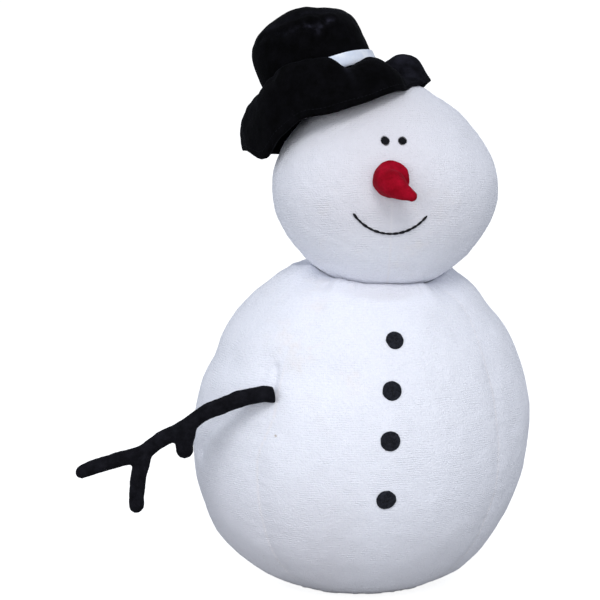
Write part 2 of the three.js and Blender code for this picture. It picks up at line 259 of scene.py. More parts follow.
def apply_modifiers(piece):
    """Swaps a piece's mesh for its evaluated one and removes the modifiers."""
    evaluated = piece.evaluated_get(bpy.context.evaluated_depsgraph_get())
    mesh = bpy.data.meshes.new_from_object(evaluated)
    piece.modifiers.clear()
    piece.data = mesh


def subdivide(piece, levels):
    modifier = piece.modifiers.new("subdivide", "SUBSURF")
    modifier.levels = levels
    modifier.render_levels = levels
    apply_modifiers(piece)


# %% Blow a skin up as cloth
def inflate(piece, held, pressure, cap, slack=0.015, frames=20):
    """Runs cloth under pressure with the held points still, and keeps each move under cap."""
    before = get_points(piece)
    group = piece.vertex_groups.new(name="held")
    for index, weight in enumerate(held):
        if weight > 0:
            group.add([index], float(weight), "REPLACE")
    cloth = piece.modifiers.new("cloth", "CLOTH").settings
    cloth.quality = 6
    cloth.mass = 0.15
    cloth.tension_stiffness = 25
    cloth.compression_stiffness = 20
    cloth.shear_stiffness = 10
    cloth.bending_stiffness = 0.6
    cloth.use_pressure = True
    cloth.uniform_pressure_force = pressure
    cloth.shrink_min = -slack
    cloth.vertex_group_mass = "held"
    cloth.pin_stiffness = 1
    cloth.effector_weights.gravity = 0
    scene = bpy.context.scene
    for number in range(1, frames + 1):
        scene.frame_set(number)
    apply_modifiers(piece)
    scene.frame_set(1)
    move = get_points(piece) - before
    size = np.linalg.norm(move, axis=1, keepdims=True)
    move *= np.tanh(size / cap) * cap / np.maximum(size, 1e-9)
    set_points(piece, before + move)
    piece.vertex_groups.clear()
    print(piece.name, "swelled by up to", round(float(size.max()) / MM, 1), "mm")


# %% Small fields pressed into a skin
def rough(points, size, seed=0, octaves=3):
    """Seeded noise from -1 to 1 at points, with features of a size."""
    shift = Vector((seed * 7.3, seed * 3.1, seed * 5.7))
    return np.array(
        [noise.fractal(Vector(p) / size + shift, 0.6, 2.0, octaves) for p in points]
    )


def bell(distance, width):
    """1 at no distance, and fading to nothing past a width."""
    return np.exp(-((distance / width) ** 2))


def ease(t):
    """Goes smoothly from 0 to 1 as t does, and stays there."""
    t = np.clip(t, 0, 1)
    return t * t * (3 - 2 * t)


def between(a, b, c, d, u):
    """A smooth value from b to c as u goes from 0 to 1, with a and d as the values beyond."""
    return b + 0.5 * u * (c - a + u * (2 * a - 5 * b + 4 * c - d + u * (3 * (b - c) + d - a)))


def near_line(points, line):
    """Each point's distance to a line of points."""
    best = np.full(len(points), np.inf)
    for a, b in zip(line[:-1], line[1:]):
        a, b = np.array(a), np.array(b)
        along = np.clip((points - a) @ (b - a) / ((b - a) @ (b - a)), 0, 1)
        best = np.minimum(best, np.linalg.norm(points - a - along[:, None] * (b - a), axis=1))
    return best


def store(piece, name, values):
    """Keeps a value for each point, for the material to read."""
    attribute = piece.data.attributes.new(name, "FLOAT", "POINT")
    attribute.data.foreach_set("value", np.asarray(values, dtype=np.float32))


def finish_piece(piece, material, slot, *nodes):
    """Smooth faces, one material, and the piece's place in the frame."""
    piece.data.materials.clear()
    piece.data.materials.append(material)
    piece.data.polygons.foreach_set("use_smooth", [True] * len(piece.data.polygons))
    piece.data.update()
    if nodes:
        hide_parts(*nodes)
    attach(piece, "root")
    print(piece.name, len(piece.data.polygons), "faces")


# %% [markdown]
# ## Finishes
#
# Nothing on the snowman is a plain colour. Plush is knitted, so its short pile stands in fine
# ribs; velvet and velour have a nap that lies lighter and darker in patches; thread is
# twisted and satin is woven in long floats. What several finishes share, the ribs of the knit,
# the nap and the soiling, is a node group that puts out masks and heights; each material then
# keeps its own Principled shader, with its sheen set straight on the socket.


# %% Node group helpers
def new_group(name, inputs, outputs):
    group = bpy.data.node_groups.new(name, "ShaderNodeTree")
    for label, kind, default in inputs:
        socket = group.interface.new_socket(label, in_out="INPUT", socket_type=kind)
        if default is not None:
            socket.default_value = default
    for label, kind in outputs:
        group.interface.new_socket(label, in_out="OUTPUT", socket_type=kind)
    source = group.nodes.new("NodeGroupInput")
    sink = group.nodes.new("NodeGroupOutput")
    return group, source, sink


def math_node(tree, operation, first, second=None, third=None):
    node = tree.nodes.new("ShaderNodeMath")
    node.operation = operation
    for index, value in enumerate((first, second, third)):
        if value is None:
            continue
        if isinstance(value, (int, float)):
            node.inputs[index].default_value = value
        else:
            tree.links.new(value, node.inputs[index])
    return node.outputs[0]


def noise_node(tree, vector, scale, detail=2.0, roughness=0.5):
    node = tree.nodes.new("ShaderNodeTexNoise")
    node.inputs["Detail"].default_value = detail
    node.inputs["Roughness"].default_value = roughness
    if isinstance(scale, (int, float)):
        node.inputs["Scale"].default_value = scale
    else:
        tree.links.new(scale, node.inputs["Scale"])
    tree.links.new(vector, node.inputs["Vector"])
    return node.outputs["Fac"]


def spread(tree, value, low, high):
    """Maps low to 0 and high to 1, clamped and eased."""
    node = tree.nodes.new("ShaderNodeMapRange")
    node.interpolation_type = "SMOOTHSTEP"
    node.inputs["From Min"].default_value = low
    node.inputs["From Max"].default_value = high
    tree.links.new(value, node.inputs["Value"])
    return node.outputs["Result"]


# %% The knit's ribs, the nap and the soiling
def knit_group():
    """Wavy rows across a cloth's own length, broken up by the fibres that stand out of them."""
    group, source, sink = new_group(
        "knit_pile",
        [("Cloth", "NodeSocketVector", None), ("Place", "NodeSocketVector", None),
         ("Row", "NodeSocketFloat", 1.6 * MM)],
        [("Height", "NodeSocketFloat"), ("Fleck", "NodeSocketFloat")],
    )
    parts = group.nodes.new("ShaderNodeSeparateXYZ")
    group.links.new(source.outputs["Cloth"], parts.inputs[0])
    wander = noise_node(group, source.outputs["Place"], 110.0)
    along = math_node(group, "MULTIPLY_ADD", wander, 3.0 * MM, parts.outputs["Y"])
    turns = math_node(group, "DIVIDE", along, source.outputs["Row"])
    rows = math_node(group, "SINE", math_node(group, "MULTIPLY", turns, TURN))
    wear_and_highlight_marks = spread(group, noise_node(group, source.outputs["Place"], 75.0), 0.25, 0.75)
    rows = math_node(group, "MULTIPLY", rows, wear_and_highlight_marks)
    ribs = math_node(group, "DIVIDE", parts.outputs["X"], source.outputs["Row"])
    ribs = math_node(group, "SINE", math_node(group, "MULTIPLY", ribs, TURN))
    fibres = noise_node(group, source.outputs["Place"], 1300.0, 3.0, 0.65)
    tufts = noise_node(group, source.outputs["Place"], 640.0, 2.0, 0.6)
    weave = math_node(group, "MULTIPLY_ADD", ribs, 0.04, math_node(group, "MULTIPLY", rows, 0.22))
    fuzz = math_node(group, "MULTIPLY_ADD", fibres, 0.8, math_node(group, "MULTIPLY", tufts, 1.4))
    group.links.new(math_node(group, "ADD", weave, fuzz), sink.inputs["Height"])
    fleck = math_node(group, "MULTIPLY_ADD", weave, 0.5, tufts)
    group.links.new(spread(group, fleck, 0.25, 0.75), sink.inputs["Fleck"])
    return group


def nap_group():
    """Pile that lies this way and that: broad patches and the fibres themselves."""
    group, source, sink = new_group(
        "laid_nap",
        [("Place", "NodeSocketVector", None), ("Patch", "NodeSocketFloat", 70.0),
         ("Fibre", "NodeSocketFloat", 1400.0)],
        [("Nap", "NodeSocketFloat"), ("Height", "NodeSocketFloat")],
    )
    patches = noise_node(group, source.outputs["Place"], source.outputs["Patch"], 4.0, 0.62)
    fibres = noise_node(group, source.outputs["Place"], source.outputs["Fibre"], 2.0, 0.7)
    nap = math_node(group, "MULTIPLY_ADD", fibres, 0.35, patches)
    group.links.new(spread(group, nap, 0.45, 0.95), sink.inputs["Nap"])
    height = math_node(group, "MULTIPLY_ADD", fibres, 0.7, patches)
    group.links.new(height, sink.inputs["Height"])
    return group


def soil_group():
    """Where handling has left the white cloth a little warm and grey."""
    group, source, sink = new_group(
        "handling_marks",
        [("Place", "NodeSocketVector", None), ("Rubbed", "NodeSocketFloat", 0.0)],
        [("Warm", "NodeSocketFloat"), ("Speck", "NodeSocketFloat")],
    )
    cloud = noise_node(group, source.outputs["Place"], 38.0, 3.0, 0.6)
    patchy = spread(group, cloud, 0.5, 0.75)
    warm = math_node(group, "MULTIPLY", patchy, source.outputs["Rubbed"])
    group.links.new(warm, sink.inputs["Warm"])
    dots = group.nodes.new("ShaderNodeTexVoronoi")
    dots.inputs["Scale"].default_value = 26.0
    group.links.new(source.outputs["Place"], dots.inputs["Vector"])
    speck = group.nodes.new("ShaderNodeMapRange")
    speck.inputs["From Min"].default_value = 0.035
    speck.inputs["From Max"].default_value = 0.015
    group.links.new(dots.outputs["Distance"], speck.inputs["Value"])
    group.links.new(speck.outputs["Result"], sink.inputs["Speck"])
    return group


KNIT = knit_group()
NAP = nap_group()
SOIL = soil_group()
print("node groups", [group.name for group in (KNIT, NAP, SOIL)])


# %% Material helpers
def new_material(name, **sockets):
    """A Principled material with its plain values set, and its tree, shader and Object place."""
    material = bpy.data.materials.new(name)
    nodes, links = node_tree(material)
    output = nodes.new("ShaderNodeOutputMaterial")
    shader = nodes.new("ShaderNodeBsdfPrincipled")
    links.new(shader.outputs[0], output.inputs["Surface"])
    for socket, value in sockets.items():
        shader.inputs[socket.replace("_", " ")].default_value = value
    place = nodes.new("ShaderNodeTexCoord").outputs["Object"]
    return material, material.node_tree, shader, place


def add_group(tree, group, **inputs):
    node = tree.nodes.new("ShaderNodeGroup")
    node.node_tree = group
    for label, value in inputs.items():
        if isinstance(value, (int, float)):
            node.inputs[label].default_value = value
        else:
            tree.links.new(value, node.inputs[label])
    return node.outputs


def mix_colour(tree, amount, first, second):
    node = tree.nodes.new("ShaderNodeMix")
    node.data_type = "RGBA"
    for socket, value in ((node.inputs[6], first), (node.inputs[7], second)):
        if isinstance(value, tuple):
            socket.default_value = (*value, 1)
        else:
            tree.links.new(value, socket)
    tree.links.new(amount, node.inputs[0])
    return node.outputs[2]


def bump(tree, shader, height, depth, strength=1.0):
    node = tree.nodes.new("ShaderNodeBump")
    node.inputs["Distance"].default_value = depth
    node.inputs["Strength"].default_value = strength
    tree.links.new(height, node.inputs["Height"])
    tree.links.new(node.outputs[0], shader.inputs["Normal"])


def read_attribute(tree, name):
    node = tree.nodes.new("ShaderNodeAttribute")
    node.attribute_name = name
    return node.outputs["Fac"]


# %% White plush
FLECK_X, FLECK_Z = -82 * MM, 132.3 * MM  # one small fleck of dirt in front, under the arm
FLECK_CORE, FLECK_EDGE = 0.4 * MM, 1.15 * MM


def fleck_mask(tree, place):
    """1 inside the fleck on the front of the body, and 0 elsewhere."""
    apart = tree.nodes.new("ShaderNodeSeparateXYZ")
    tree.links.new(place, apart.inputs[0])
    aside = math_node(tree, "SUBTRACT", apart.outputs["X"], FLECK_X)
    above = math_node(tree, "SUBTRACT", apart.outputs["Z"], FLECK_Z)
    squares = math_node(tree, "MULTIPLY_ADD", aside, aside, math_node(tree, "MULTIPLY", above, above))
    away = spread(tree, math_node(tree, "SQRT", squares), FLECK_CORE, FLECK_EDGE)
    front = math_node(tree, "LESS_THAN", apart.outputs["Y"], 0.0)
    return math_node(tree, "MULTIPLY", math_node(tree, "SUBTRACT", 1.0, away), front)


def white_plush():
    """Knitted plush, greyed by painted shade where it is shaded and soiled in patches, with fine seams and
    one fleck of dirt.
    """
    material, tree, shader, place = new_material(
        "white_plush", Roughness=0.95, Specular_IOR_Level=0.15, Sheen_Weight=0.25,
        Sheen_Roughness=0.5, Sheen_Tint=(0.95, 0.97, 1, 1),
    )
    cloth = tree.nodes.new("ShaderNodeUVMap")
    cloth.uv_map = "cloth"
    knit = add_group(tree, KNIT, Cloth=cloth.outputs[0], Place=place)
    soil = add_group(tree, SOIL, Place=place, Rubbed=read_attribute(tree, "rubbed"))
    pile = mix_colour(tree, knit["Fleck"], (0.815, 0.83, 0.91), (0.875, 0.89, 0.96))
    # Painted shade: a grey-blue mixed into the pile where a piece stores it, under the chin, low on the
    # body and over the face.
    shaded = mix_colour(tree, read_attribute(tree, "painted_shade"), pile, (0.68, 0.67, 0.72))
    warm = mix_colour(tree, soil["Warm"], shaded, (0.86, 0.78, 0.72))
    wear_and_highlight_marks = math_node(tree, "MULTIPLY", soil["Speck"], read_attribute(tree, "rubbed"))
    marked = mix_colour(tree, wear_and_highlight_marks, warm, (0.45, 0.36, 0.30))
    seamed = mix_colour(tree, read_attribute(tree, "seam"), marked, (0.86, 0.83, 0.85))
    flecked = mix_colour(tree, fleck_mask(tree, place), seamed, (0.56, 0.51, 0.48))
    tree.links.new(flecked, shader.inputs["Base Color"])
    bump(tree, shader, knit["Height"], 0.6 * MM, 0.85)
    return material


# %% The dark, red and shiny cloths
def napped(name, dark, light, patch, depth, sheen, tint, sheen_roughness=0.35, highlight_colour=None):
    """Velvet, velour or felt: two tones under a sheen, and a third, a painted highlight, where a piece
    stores one.
    """
    material, tree, shader, place = new_material(
        name, Roughness=0.85, Specular_IOR_Level=0.04, Sheen_Weight=sheen,
        Sheen_Roughness=sheen_roughness, Sheen_Tint=(*tint, 1),
    )
    nap = add_group(tree, NAP, Place=place, Patch=patch)
    colour = mix_colour(tree, nap["Nap"], dark, light)
    # Painted highlight: a light blue-grey mixed in where the crown's wrinkles and the brim's folds store
    # it, broken up by the nap.
    if highlight_colour:
        patchy = math_node(tree, "MULTIPLY_ADD", nap["Nap"], 0.8, 0.2)
        amount = math_node(tree, "MULTIPLY", read_attribute(tree, "painted_highlight"), patchy)
        colour = mix_colour(tree, amount, colour, highlight_colour)
    tree.links.new(colour, shader.inputs["Base Color"])
    bump(tree, shader, nap["Height"], depth, 0.7)
    return material


def thread_material(name, dark, light, sheen):
    """Twisted thread: fine slanting strands across its own length."""
    material, tree, shader, place = new_material(
        name, Roughness=0.6, Specular_IOR_Level=0.15, Sheen_Weight=sheen, Sheen_Roughness=0.3,
    )
    twist = tree.nodes.new("ShaderNodeTexWave")
    twist.bands_direction = "DIAGONAL"
    twist.inputs["Scale"].default_value = 420.0
    twist.inputs["Distortion"].default_value = 3.0
    tree.links.new(place, twist.inputs["Vector"])
    colour = mix_colour(tree, twist.outputs["Fac"], dark, light)
    tree.links.new(colour, shader.inputs["Base Color"])
    bump(tree, shader, twist.outputs["Fac"], 0.12 * MM)
    return material


def satin_material():
    """Satin: long floats across the ribbon, and a shine that clouds a little along it."""
    material, tree, shader, place = new_material(
        "satin_ribbon", Roughness=0.32, Specular_IOR_Level=0.5, Anisotropic=0.5,
    )
    cloth = tree.nodes.new("ShaderNodeUVMap")
    cloth.uv_map = "cloth"
    parts = tree.nodes.new("ShaderNodeSeparateXYZ")
    tree.links.new(cloth.outputs[0], parts.inputs[0])
    turns = math_node(tree, "MULTIPLY", parts.outputs["Y"], TURN / (0.45 * MM))
    floats = math_node(tree, "SINE", turns)
    cloud = noise_node(tree, place, 90.0, 3.0)
    colour = mix_colour(tree, spread(tree, cloud, 0.35, 0.7), (0.70, 0.77, 0.90), (0.88, 0.92, 0.99))
    tree.links.new(colour, shader.inputs["Base Color"])
    tree.links.new(spread(tree, cloud, -0.6, 1.9), shader.inputs["Roughness"])
    bump(tree, shader, floats, 0.03 * MM)
    return material


PLUSH = white_plush()
VELVET = napped(
    "black_velvet", (0.0004, 0.0004, 0.0005), (0.0022, 0.0021, 0.0031), patch=120.0,
    depth=0.35 * MM, sheen=0.01, tint=(0.5, 0.58, 0.85), highlight_colour=(0.045, 0.045, 0.068),
)
VELOUR = napped(
    "black_velour", (0.0035, 0.0035, 0.0048), (0.010, 0.010, 0.0135), patch=160.0,
    depth=0.3 * MM, sheen=0.05, tint=(0.6, 0.65, 0.8),
)
FELT = napped(
    "black_felt", (0.005, 0.0053, 0.0078), (0.022, 0.023, 0.031), patch=420.0,
    depth=0.6 * MM, sheen=0.08, tint=(0.7, 0.75, 0.9), sheen_roughness=0.6,
)
RED = napped(
    "red_velour", (0.20, 0.0014, 0.0075), (0.37, 0.004, 0.020), patch=110.0,
    depth=0.3 * MM, sheen=0.06, tint=(0.95, 0.2, 0.3), sheen_roughness=0.4,
)
THREAD = thread_material("black_thread", (0.002, 0.002, 0.003), (0.010, 0.010, 0.014), 0.03)
CREAM = thread_material("cream_thread", (0.79, 0.76, 0.79), (0.87, 0.86, 0.89), 0.3)
SATIN = satin_material()
print("materials", len(bpy.data.materials))

# %% [markdown]
# ## The body
#
# The body is sewn from a front panel and two side panels that meet at the back, on an oval base.
# Its outline is measured on the frame's solid with rays shot inwards, ring by ring, and the
# facets are blurred away. A formula could repeat the shape, but measuring keeps one source for
# it. Cloth under pressure with the seams held then gives the quilted swell that a formula lacks.

# %% Measure the body
BODY_SIDES = 96
BODY_RINGS = 46
body_low, body_high = (Vector(corner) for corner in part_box("body"))
BODY_MIDDLE_X = (body_low.x + body_high.x) / 2
NECK_HEIGHT = body_high.z - 6 * MM
BASE_EDGE = 5 * MM  # the stuffed bottom rounds over this far up from the floor
body_tree = surface_tree(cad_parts["body"])


def body_reaches(z):
    """How far out the body comes at a height, at each angle anticlockwise from the front."""
    middle = Vector((BODY_MIDDLE_X, 0, z))
    angles = [k / BODY_SIDES * TURN for k in range(BODY_SIDES)]
    return [
        reach_inward(body_tree, middle, Vector((math.sin(angle), -math.cos(angle), 0)))
        for angle in angles
    ]


def measure_body():
    """Rings of points from the base's edge to the neck, a little closer together low down."""
    heights = BASE_EDGE + (NECK_HEIGHT - BASE_EDGE) * np.linspace(0, 1, BODY_RINGS) ** 1.04
    reaches = np.array([body_reaches(float(z)) for z in heights])
    reaches = blurred(blurred(reaches, 6, True), 3, False)
    angles = np.arange(BODY_SIDES) / BODY_SIDES * TURN
    across = BODY_MIDDLE_X + reaches * np.sin(angles)
    levels = np.repeat(heights[:, None], BODY_SIDES, 1)
    return np.stack([across, -reaches * np.cos(angles), levels], -1)


def with_base_and_neck(rings):
    """Rounds the skin under to a flat base, and closes it inside the neck."""
    foot = rings[0].mean(0)
    under = []
    for share, z in ((0.2, 0.0), (0.42, 0.0), (0.60, 0.0), (0.75, 1.1), (0.89, 3.1)):
        ring = foot + (rings[0] - foot) * share
        ring[:, 2] = z * MM
        under.append(ring)
    throat = rings[-1].mean(0)
    inside = []
    for share, drop in ((0.9, 1.5), (0.6, 4), (0.25, 6)):
        ring = throat + (rings[-1] - throat) * share
        ring[:, 2] = throat[2] - drop * MM
        inside.append(ring)
    closed = np.concatenate([under, rings, inside])
    return closed, (foot[0], foot[1], 0), (throat[0], throat[1], throat[2] - 7 * MM)


body_rings, body_foot, body_throat = with_base_and_neck(measure_body())
body = skin("body_skin", body_rings, body_foot, body_throat)
print("body skin", len(body.data.vertices), "points")

# %% [markdown]
# The seams are lines of angle round the body. The front panel narrows towards the neck on the
# arm's side. Where the cloth is drawn in, at the seams, round the arm's root and at its twin on
# the other side, the surface is pressed in, with short puckers across the seam.

# %% The body's seams
BACK = math.pi


def body_seams(z):
    """Angles of the three long seams at heights z, from the front."""
    left = -np.radians(45.0 + 5.5 * ease((0.150 - z) / 0.040) - 11.0 * ease((z - 0.180) / 0.045))
    right = np.radians(47.0 - 3.0 * ease((z - 0.060) / 0.090) + 5.0 * ease((z - 0.185) / 0.030))
    return left, right, np.full_like(z, BACK)


def turned(angle):
    """The same angle, brought between a half turn back and a half turn on."""
    return (angle + math.pi) % TURN - math.pi


def body_angles(points):
    """Each point's angle round the body, from the front."""
    return np.arctan2(points[:, 0] - BODY_MIDDLE_X, -points[:, 1])


def seam_distances(points):
    """Each point's distance along the skin to each of the long seams."""
    angles = body_angles(points)
    reach = np.hypot(points[:, 0] - BODY_MIDDLE_X, points[:, 1])
    return [np.abs(turned(angles - seam)) * reach for seam in body_seams(points[:, 2])]


coarse = get_points(body)
nearest = np.min(seam_distances(coarse), axis=0)
held = np.where(nearest < 4 * MM, 1.0, 0.0)
held[(coarse[:, 2] < 3 * MM) | (coarse[:, 2] > NECK_HEIGHT - 8 * MM)] = 1.0
inflate(body, held, pressure=2.0, cap=1.8 * MM, slack=0.006)
subdivide(body, 2)

# %% Press the seams, dents and pile into the body
arm_low, arm_high = (Vector(corner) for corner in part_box("arm"))
ARM_ROOT = Vector((arm_high.x, arm_low.y + 7 * MM, arm_high.z - 7 * MM))
# Steps from the arm's root to the folds that it draws in the cloth, in millimetres.
ARM_FOLD = [(-9.0, 0.4, 6.0), (-7.8, 2.9, 13.0), (-6.2, 6.8, 21.0)]
FOLD_HOLLOW = [(-15, 8, 20), (-11, 9, 28)]
ARM_CREASE = [(-28, 18, -8), (-40, 32, -20), (-48, 45, -31), (-52, 52, -41), (-56, 60, -51)]
# Where a second arm's root would be, there is only a dimple.
ARM_TWIN = (-ARM_ROOT.x + 3 * MM, ARM_ROOT.y + 6 * MM, ARM_ROOT.z + 13 * MM)
FRONT_EDGE = math.radians(40)  # how far round the collar goes on each side


def on_skin(piece, start, steps):
    """The places on a skin nearest to steps, in millimetres, from a start."""
    tree = surface_tree(piece)
    return [np.array(tree.find_nearest(start + Vector(step) * MM)[0]) for step in steps]


def arm_folds(piece, points):
    """How deep the arm draws the cloth in: a fold and a hollow above it, a long crease below."""
    fold = near_line(points, on_skin(piece, ARM_ROOT, ARM_FOLD))
    hollow = near_line(points, on_skin(piece, ARM_ROOT, FOLD_HOLLOW))
    crease = near_line(points, on_skin(piece, ARM_ROOT, ARM_CREASE))
    depth = 1.9 * bell(fold, 2.4 * MM) - 0.25 * bell(fold - 5 * MM, 3 * MM)
    depth += 1.5 * bell(hollow, 6 * MM)
    depth += 2.5 * bell(crease, 5 * MM) - 0.6 * bell(crease - 12 * MM, 6 * MM)
    return depth + bell(np.linalg.norm(points - np.array(ARM_TWIN), axis=1), 9 * MM)


def settling(points, left):
    """How deep the shoulders slope and the neck leans to the right, where the stuffing settled."""
    z = points[:, 2]
    right = ease((points[:, 0] - 20 * MM) / (35 * MM))
    depth = (2.4 * bell(z - 0.212, 15 * MM) - 4.8 * bell(z - 0.240, 7 * MM)) * right
    return depth + (2.8 * bell(z - 0.176, 13 * MM) + 3.2 * bell(z - 0.245, 8 * MM)) * left


def press_body(piece):
    points, normals = get_points(piece), get_normals(piece)
    nearest = np.min(seam_distances(points), axis=0)
    angles = body_angles(points)
    z = points[:, 2]
    left = ease((-points[:, 0] - 10 * MM) / (35 * MM))
    on_side = ease(z / 0.02) * ease((NECK_HEIGHT - z) / 0.012)
    faint = 1 - 0.55 * ease((z - 0.150) / 0.060)
    depth = (0.35 * bell(nearest, 8 * MM) + 0.3 * bell(nearest, 2.6 * MM)) * on_side * faint
    pucker = np.sin(z * TURN / (8.5 * MM) + 3 * rough(points, 0.03, 2, 2))
    depth += 0.1 * pucker * bell(nearest - 4 * MM, 6 * MM) * on_side
    depth += arm_folds(piece, points) + settling(points, left)
    # The front panel ends below the chin, and a narrow collar of cloth rises from it to the neck.
    front = ease((FRONT_EDGE - np.abs(angles)) / 0.15)
    edge = 0.2225 + 0.004 * (angles / 0.6) ** 2
    depth += (0.6 * bell(z - edge, 1.8 * MM) - 3.2 * bell(z - 0.231, 6.5 * MM)) * front
    # The base is a separate oval, sewn in just above the floor.
    depth += 0.35 * bell(z - BASE_EDGE, 1.6 * MM) + 1.6 * bell(z - BASE_EDGE, 6 * MM)
    lumps = 1.5 * rough(points, 0.085, 5, 2) + 0.45 * rough(points, 0.022, 8, 2)
    pile = 0.16 * rough(points, 0.0035, 11, 2)
    move = (0.7 + lumps + pile) * ease(z / 0.015) - depth
    move[z < 2 * MM] = 0
    set_points(piece, points + normals * (move * MM)[:, None])
    store(piece, "seam", 0.4 * bell(nearest, 0.9 * MM) * on_side * faint)
    rubbed = bell(points[:, 0] + 46 * MM, 24 * MM) * bell(z - 0.196, 34 * MM) * (points[:, 1] < 0)
    store(piece, "rubbed", 0.85 * rubbed)
    # Painted shade, stored for the plush: the collar band under the chin, the bottom of the body and,
    # more, its lower left side are greyed where less light reaches them.
    collar = 0.55 * ease((z - edge) / 0.003) * bell(angles - 0.03, 0.55)
    low = 0.35 * ease((0.10 - z) / 0.08) + 0.35 * ease((0.13 - z) / 0.06) * left
    store(piece, "painted_shade", np.maximum(collar, low))


press_body(body)


# %% Lay the cloth's own coordinates over the body
def lay_cloth(piece, angles, reaches, lengths, cuts):
    """A UV map in metres: across each panel from its middle line, and along its length."""
    mesh = piece.data
    mesh.uv_layers.new(name="cloth")
    count = len(mesh.loops)
    loop_points = np.empty(count, dtype=np.int32)
    mesh.loops.foreach_get("vertex_index", loop_points)
    starts = np.empty(len(mesh.polygons), dtype=np.int32)
    totals = np.empty(len(mesh.polygons), dtype=np.int32)
    mesh.polygons.foreach_get("loop_start", starts)
    mesh.polygons.foreach_get("loop_total", totals)
    face_of_loop = np.repeat(np.arange(len(mesh.polygons)), totals)
    first = angles[loop_points[starts]]
    around = first[face_of_loop] + turned(angles[loop_points] - first[face_of_loop])
    panel_middle = np.zeros(len(mesh.polygons))
    for low, high in zip(cuts, [*cuts[1:], cuts[0] + TURN]):
        inside = ((first - low) % TURN) < (high - low)
        panel_middle[inside] = (low + high) / 2
    across = turned(around - panel_middle[face_of_loop]) * reaches[loop_points]
    uv = np.stack([across, lengths[loop_points]], -1)
    mesh.uv_layers["cloth"].data.foreach_set("uv", uv.ravel())


fine = get_points(body)
lay_cloth(
    body,
    body_angles(fine),
    np.hypot(fine[:, 0] - BODY_MIDDLE_X, fine[:, 1]),
    fine[:, 2],
    [math.radians(-44), math.radians(41), BACK],
)

# %% [markdown]
# ## The head
#
# The head is turned and tilted on the body, so it is measured in its own frame, along rays that
# point in towards its middle. Four gores meet at the face's middle, the sides and the back; the
# middle seam of the face shows only as a fine line.

# %% Measure the head
HEAD_MIDDLE = Vector((11.4, -20, 301.5)) * MM
HEAD_TURN = math.radians(-9.5)
HEAD_TILT = math.radians(-9)
HEAD_SIDES = 96
HEAD_RINGS = 48
head_frame = (
    Matrix.Translation(HEAD_MIDDLE) @ Matrix.Rotation(HEAD_TURN, 4, "Z")
    @ Matrix.Rotation(HEAD_TILT, 4, "X")
)
head_tree = surface_tree(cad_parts["head"])


def head_direction(around, up):
    """A direction in the snowman's frame, from an angle round the head and one up from level."""
    local = Vector((math.sin(around) * math.cos(up), -math.cos(around) * math.cos(up), math.sin(up)))
    return head_frame.to_3x3() @ local


def measure_head():
    middle = head_frame.translation
    ups = np.linspace(-0.5, 0.5, HEAD_RINGS + 2)[1:-1] * math.pi
    around = np.arange(HEAD_SIDES) / HEAD_SIDES * TURN
    reaches = np.array(
        [[reach_inward(head_tree, middle, head_direction(a, u)) for a in around] for u in ups]
    )
    reaches = blurred(blurred(reaches, 6, True), 3, False)
    rings = [
        [middle + head_direction(a, u) * float(r) for a, r in zip(around, row)]
        for u, row in zip(ups, reaches)
    ]
    ends = [middle + head_direction(0, u) * float(row.mean()) for u, row in
            ((-math.pi / 2, reaches[0]), (math.pi / 2, reaches[-1]))]
    return np.array(rings), ends


head_rings, head_ends = measure_head()
head = skin("head_skin", head_rings, *head_ends)


# %% Swell the head and press its seams in
def head_local(points):
    """The same points in the head's own frame."""
    turn = np.array(head_frame.to_3x3())
    return (points - np.array(head_frame.translation)) @ turn


HEAD_SEAMS = [0, math.pi / 2, math.pi, -math.pi / 2]
HAT_CREASE = [(13, -50, 64), (16, -62, 50), (15, -70, 38)]  # runs down from under the hat


def head_seam_distances(points):
    """Each point's distance along the skin to each of the head's seams."""
    local = head_local(points)
    around = np.arctan2(local[:, 0], -local[:, 1])
    reach = np.hypot(local[:, 0], local[:, 1])
    return [np.abs(turned(around - seam)) * reach for seam in HEAD_SEAMS]


def press_head(piece):
    points, normals = get_points(piece), get_normals(piece)
    seams = head_seam_distances(points)
    others = np.min(seams[1:], axis=0)
    local = head_local(points)
    depth = 0.25 * bell(others, 7 * MM) + 0.25 * bell(others, 2.4 * MM)
    depth += 0.2 * bell(seams[0], 2 * MM) * ease(-local[:, 2] / 0.03)
    pucker = np.sin(local[:, 2] * TURN / (8 * MM) + 3 * rough(points, 0.03, 4, 2))
    depth += 0.08 * pucker * bell(others - 4 * MM, 5 * MM)
    depth += 0.7 * bell(near_line(local, [np.array(p) * MM for p in HAT_CREASE]), 4 * MM)
    lumps = 1.3 * rough(points, 0.07, 15, 2) + 0.4 * rough(points, 0.02, 18, 2)
    pile = 0.16 * rough(points, 0.0035, 21, 2)
    set_points(piece, points + normals * ((lumps + pile - depth) * MM)[:, None])
    chin = 0.8 * bell(seams[0], 0.8 * MM) * ease(-local[:, 2] / 0.03)
    store(piece, "seam", 0.4 * np.maximum(bell(others, 0.9 * MM), chin))
    store(piece, "rubbed", 0.25 * ease(-local[:, 1] / 0.07) * bell(local[:, 2] + 35 * MM, 40 * MM))
    # Painted shade, stored for the plush: the whole head is greyed a little, and the front of the face
    # more from the chin up, for the lesser light it gets.
    cheek = bell(local[:, 0] + 10 * MM, 60 * MM) * ease(-local[:, 1] / 0.05)
    store(piece, "painted_shade", 0.03 + 0.9 * cheek * ease((local[:, 2] + 60 * MM) / (40 * MM)))


coarse = get_points(head)
local = head_local(coarse)
held = np.where(np.min(head_seam_distances(coarse)[1:], axis=0) < 4 * MM, 1.0, 0.0)
held[np.abs(local[:, 2]) > 70 * MM] = 1.0
inflate(head, held, pressure=2.0, cap=1.4 * MM, slack=0.008)
subdivide(head, 2)
press_head(head)
fine = head_local(get_points(head))
lay_cloth(
    head,
    np.arctan2(fine[:, 0], -fine[:, 1]),
    np.hypot(fine[:, 0], fine[:, 1]),
    fine[:, 2],
    [-math.pi / 2, math.pi / 2],
)

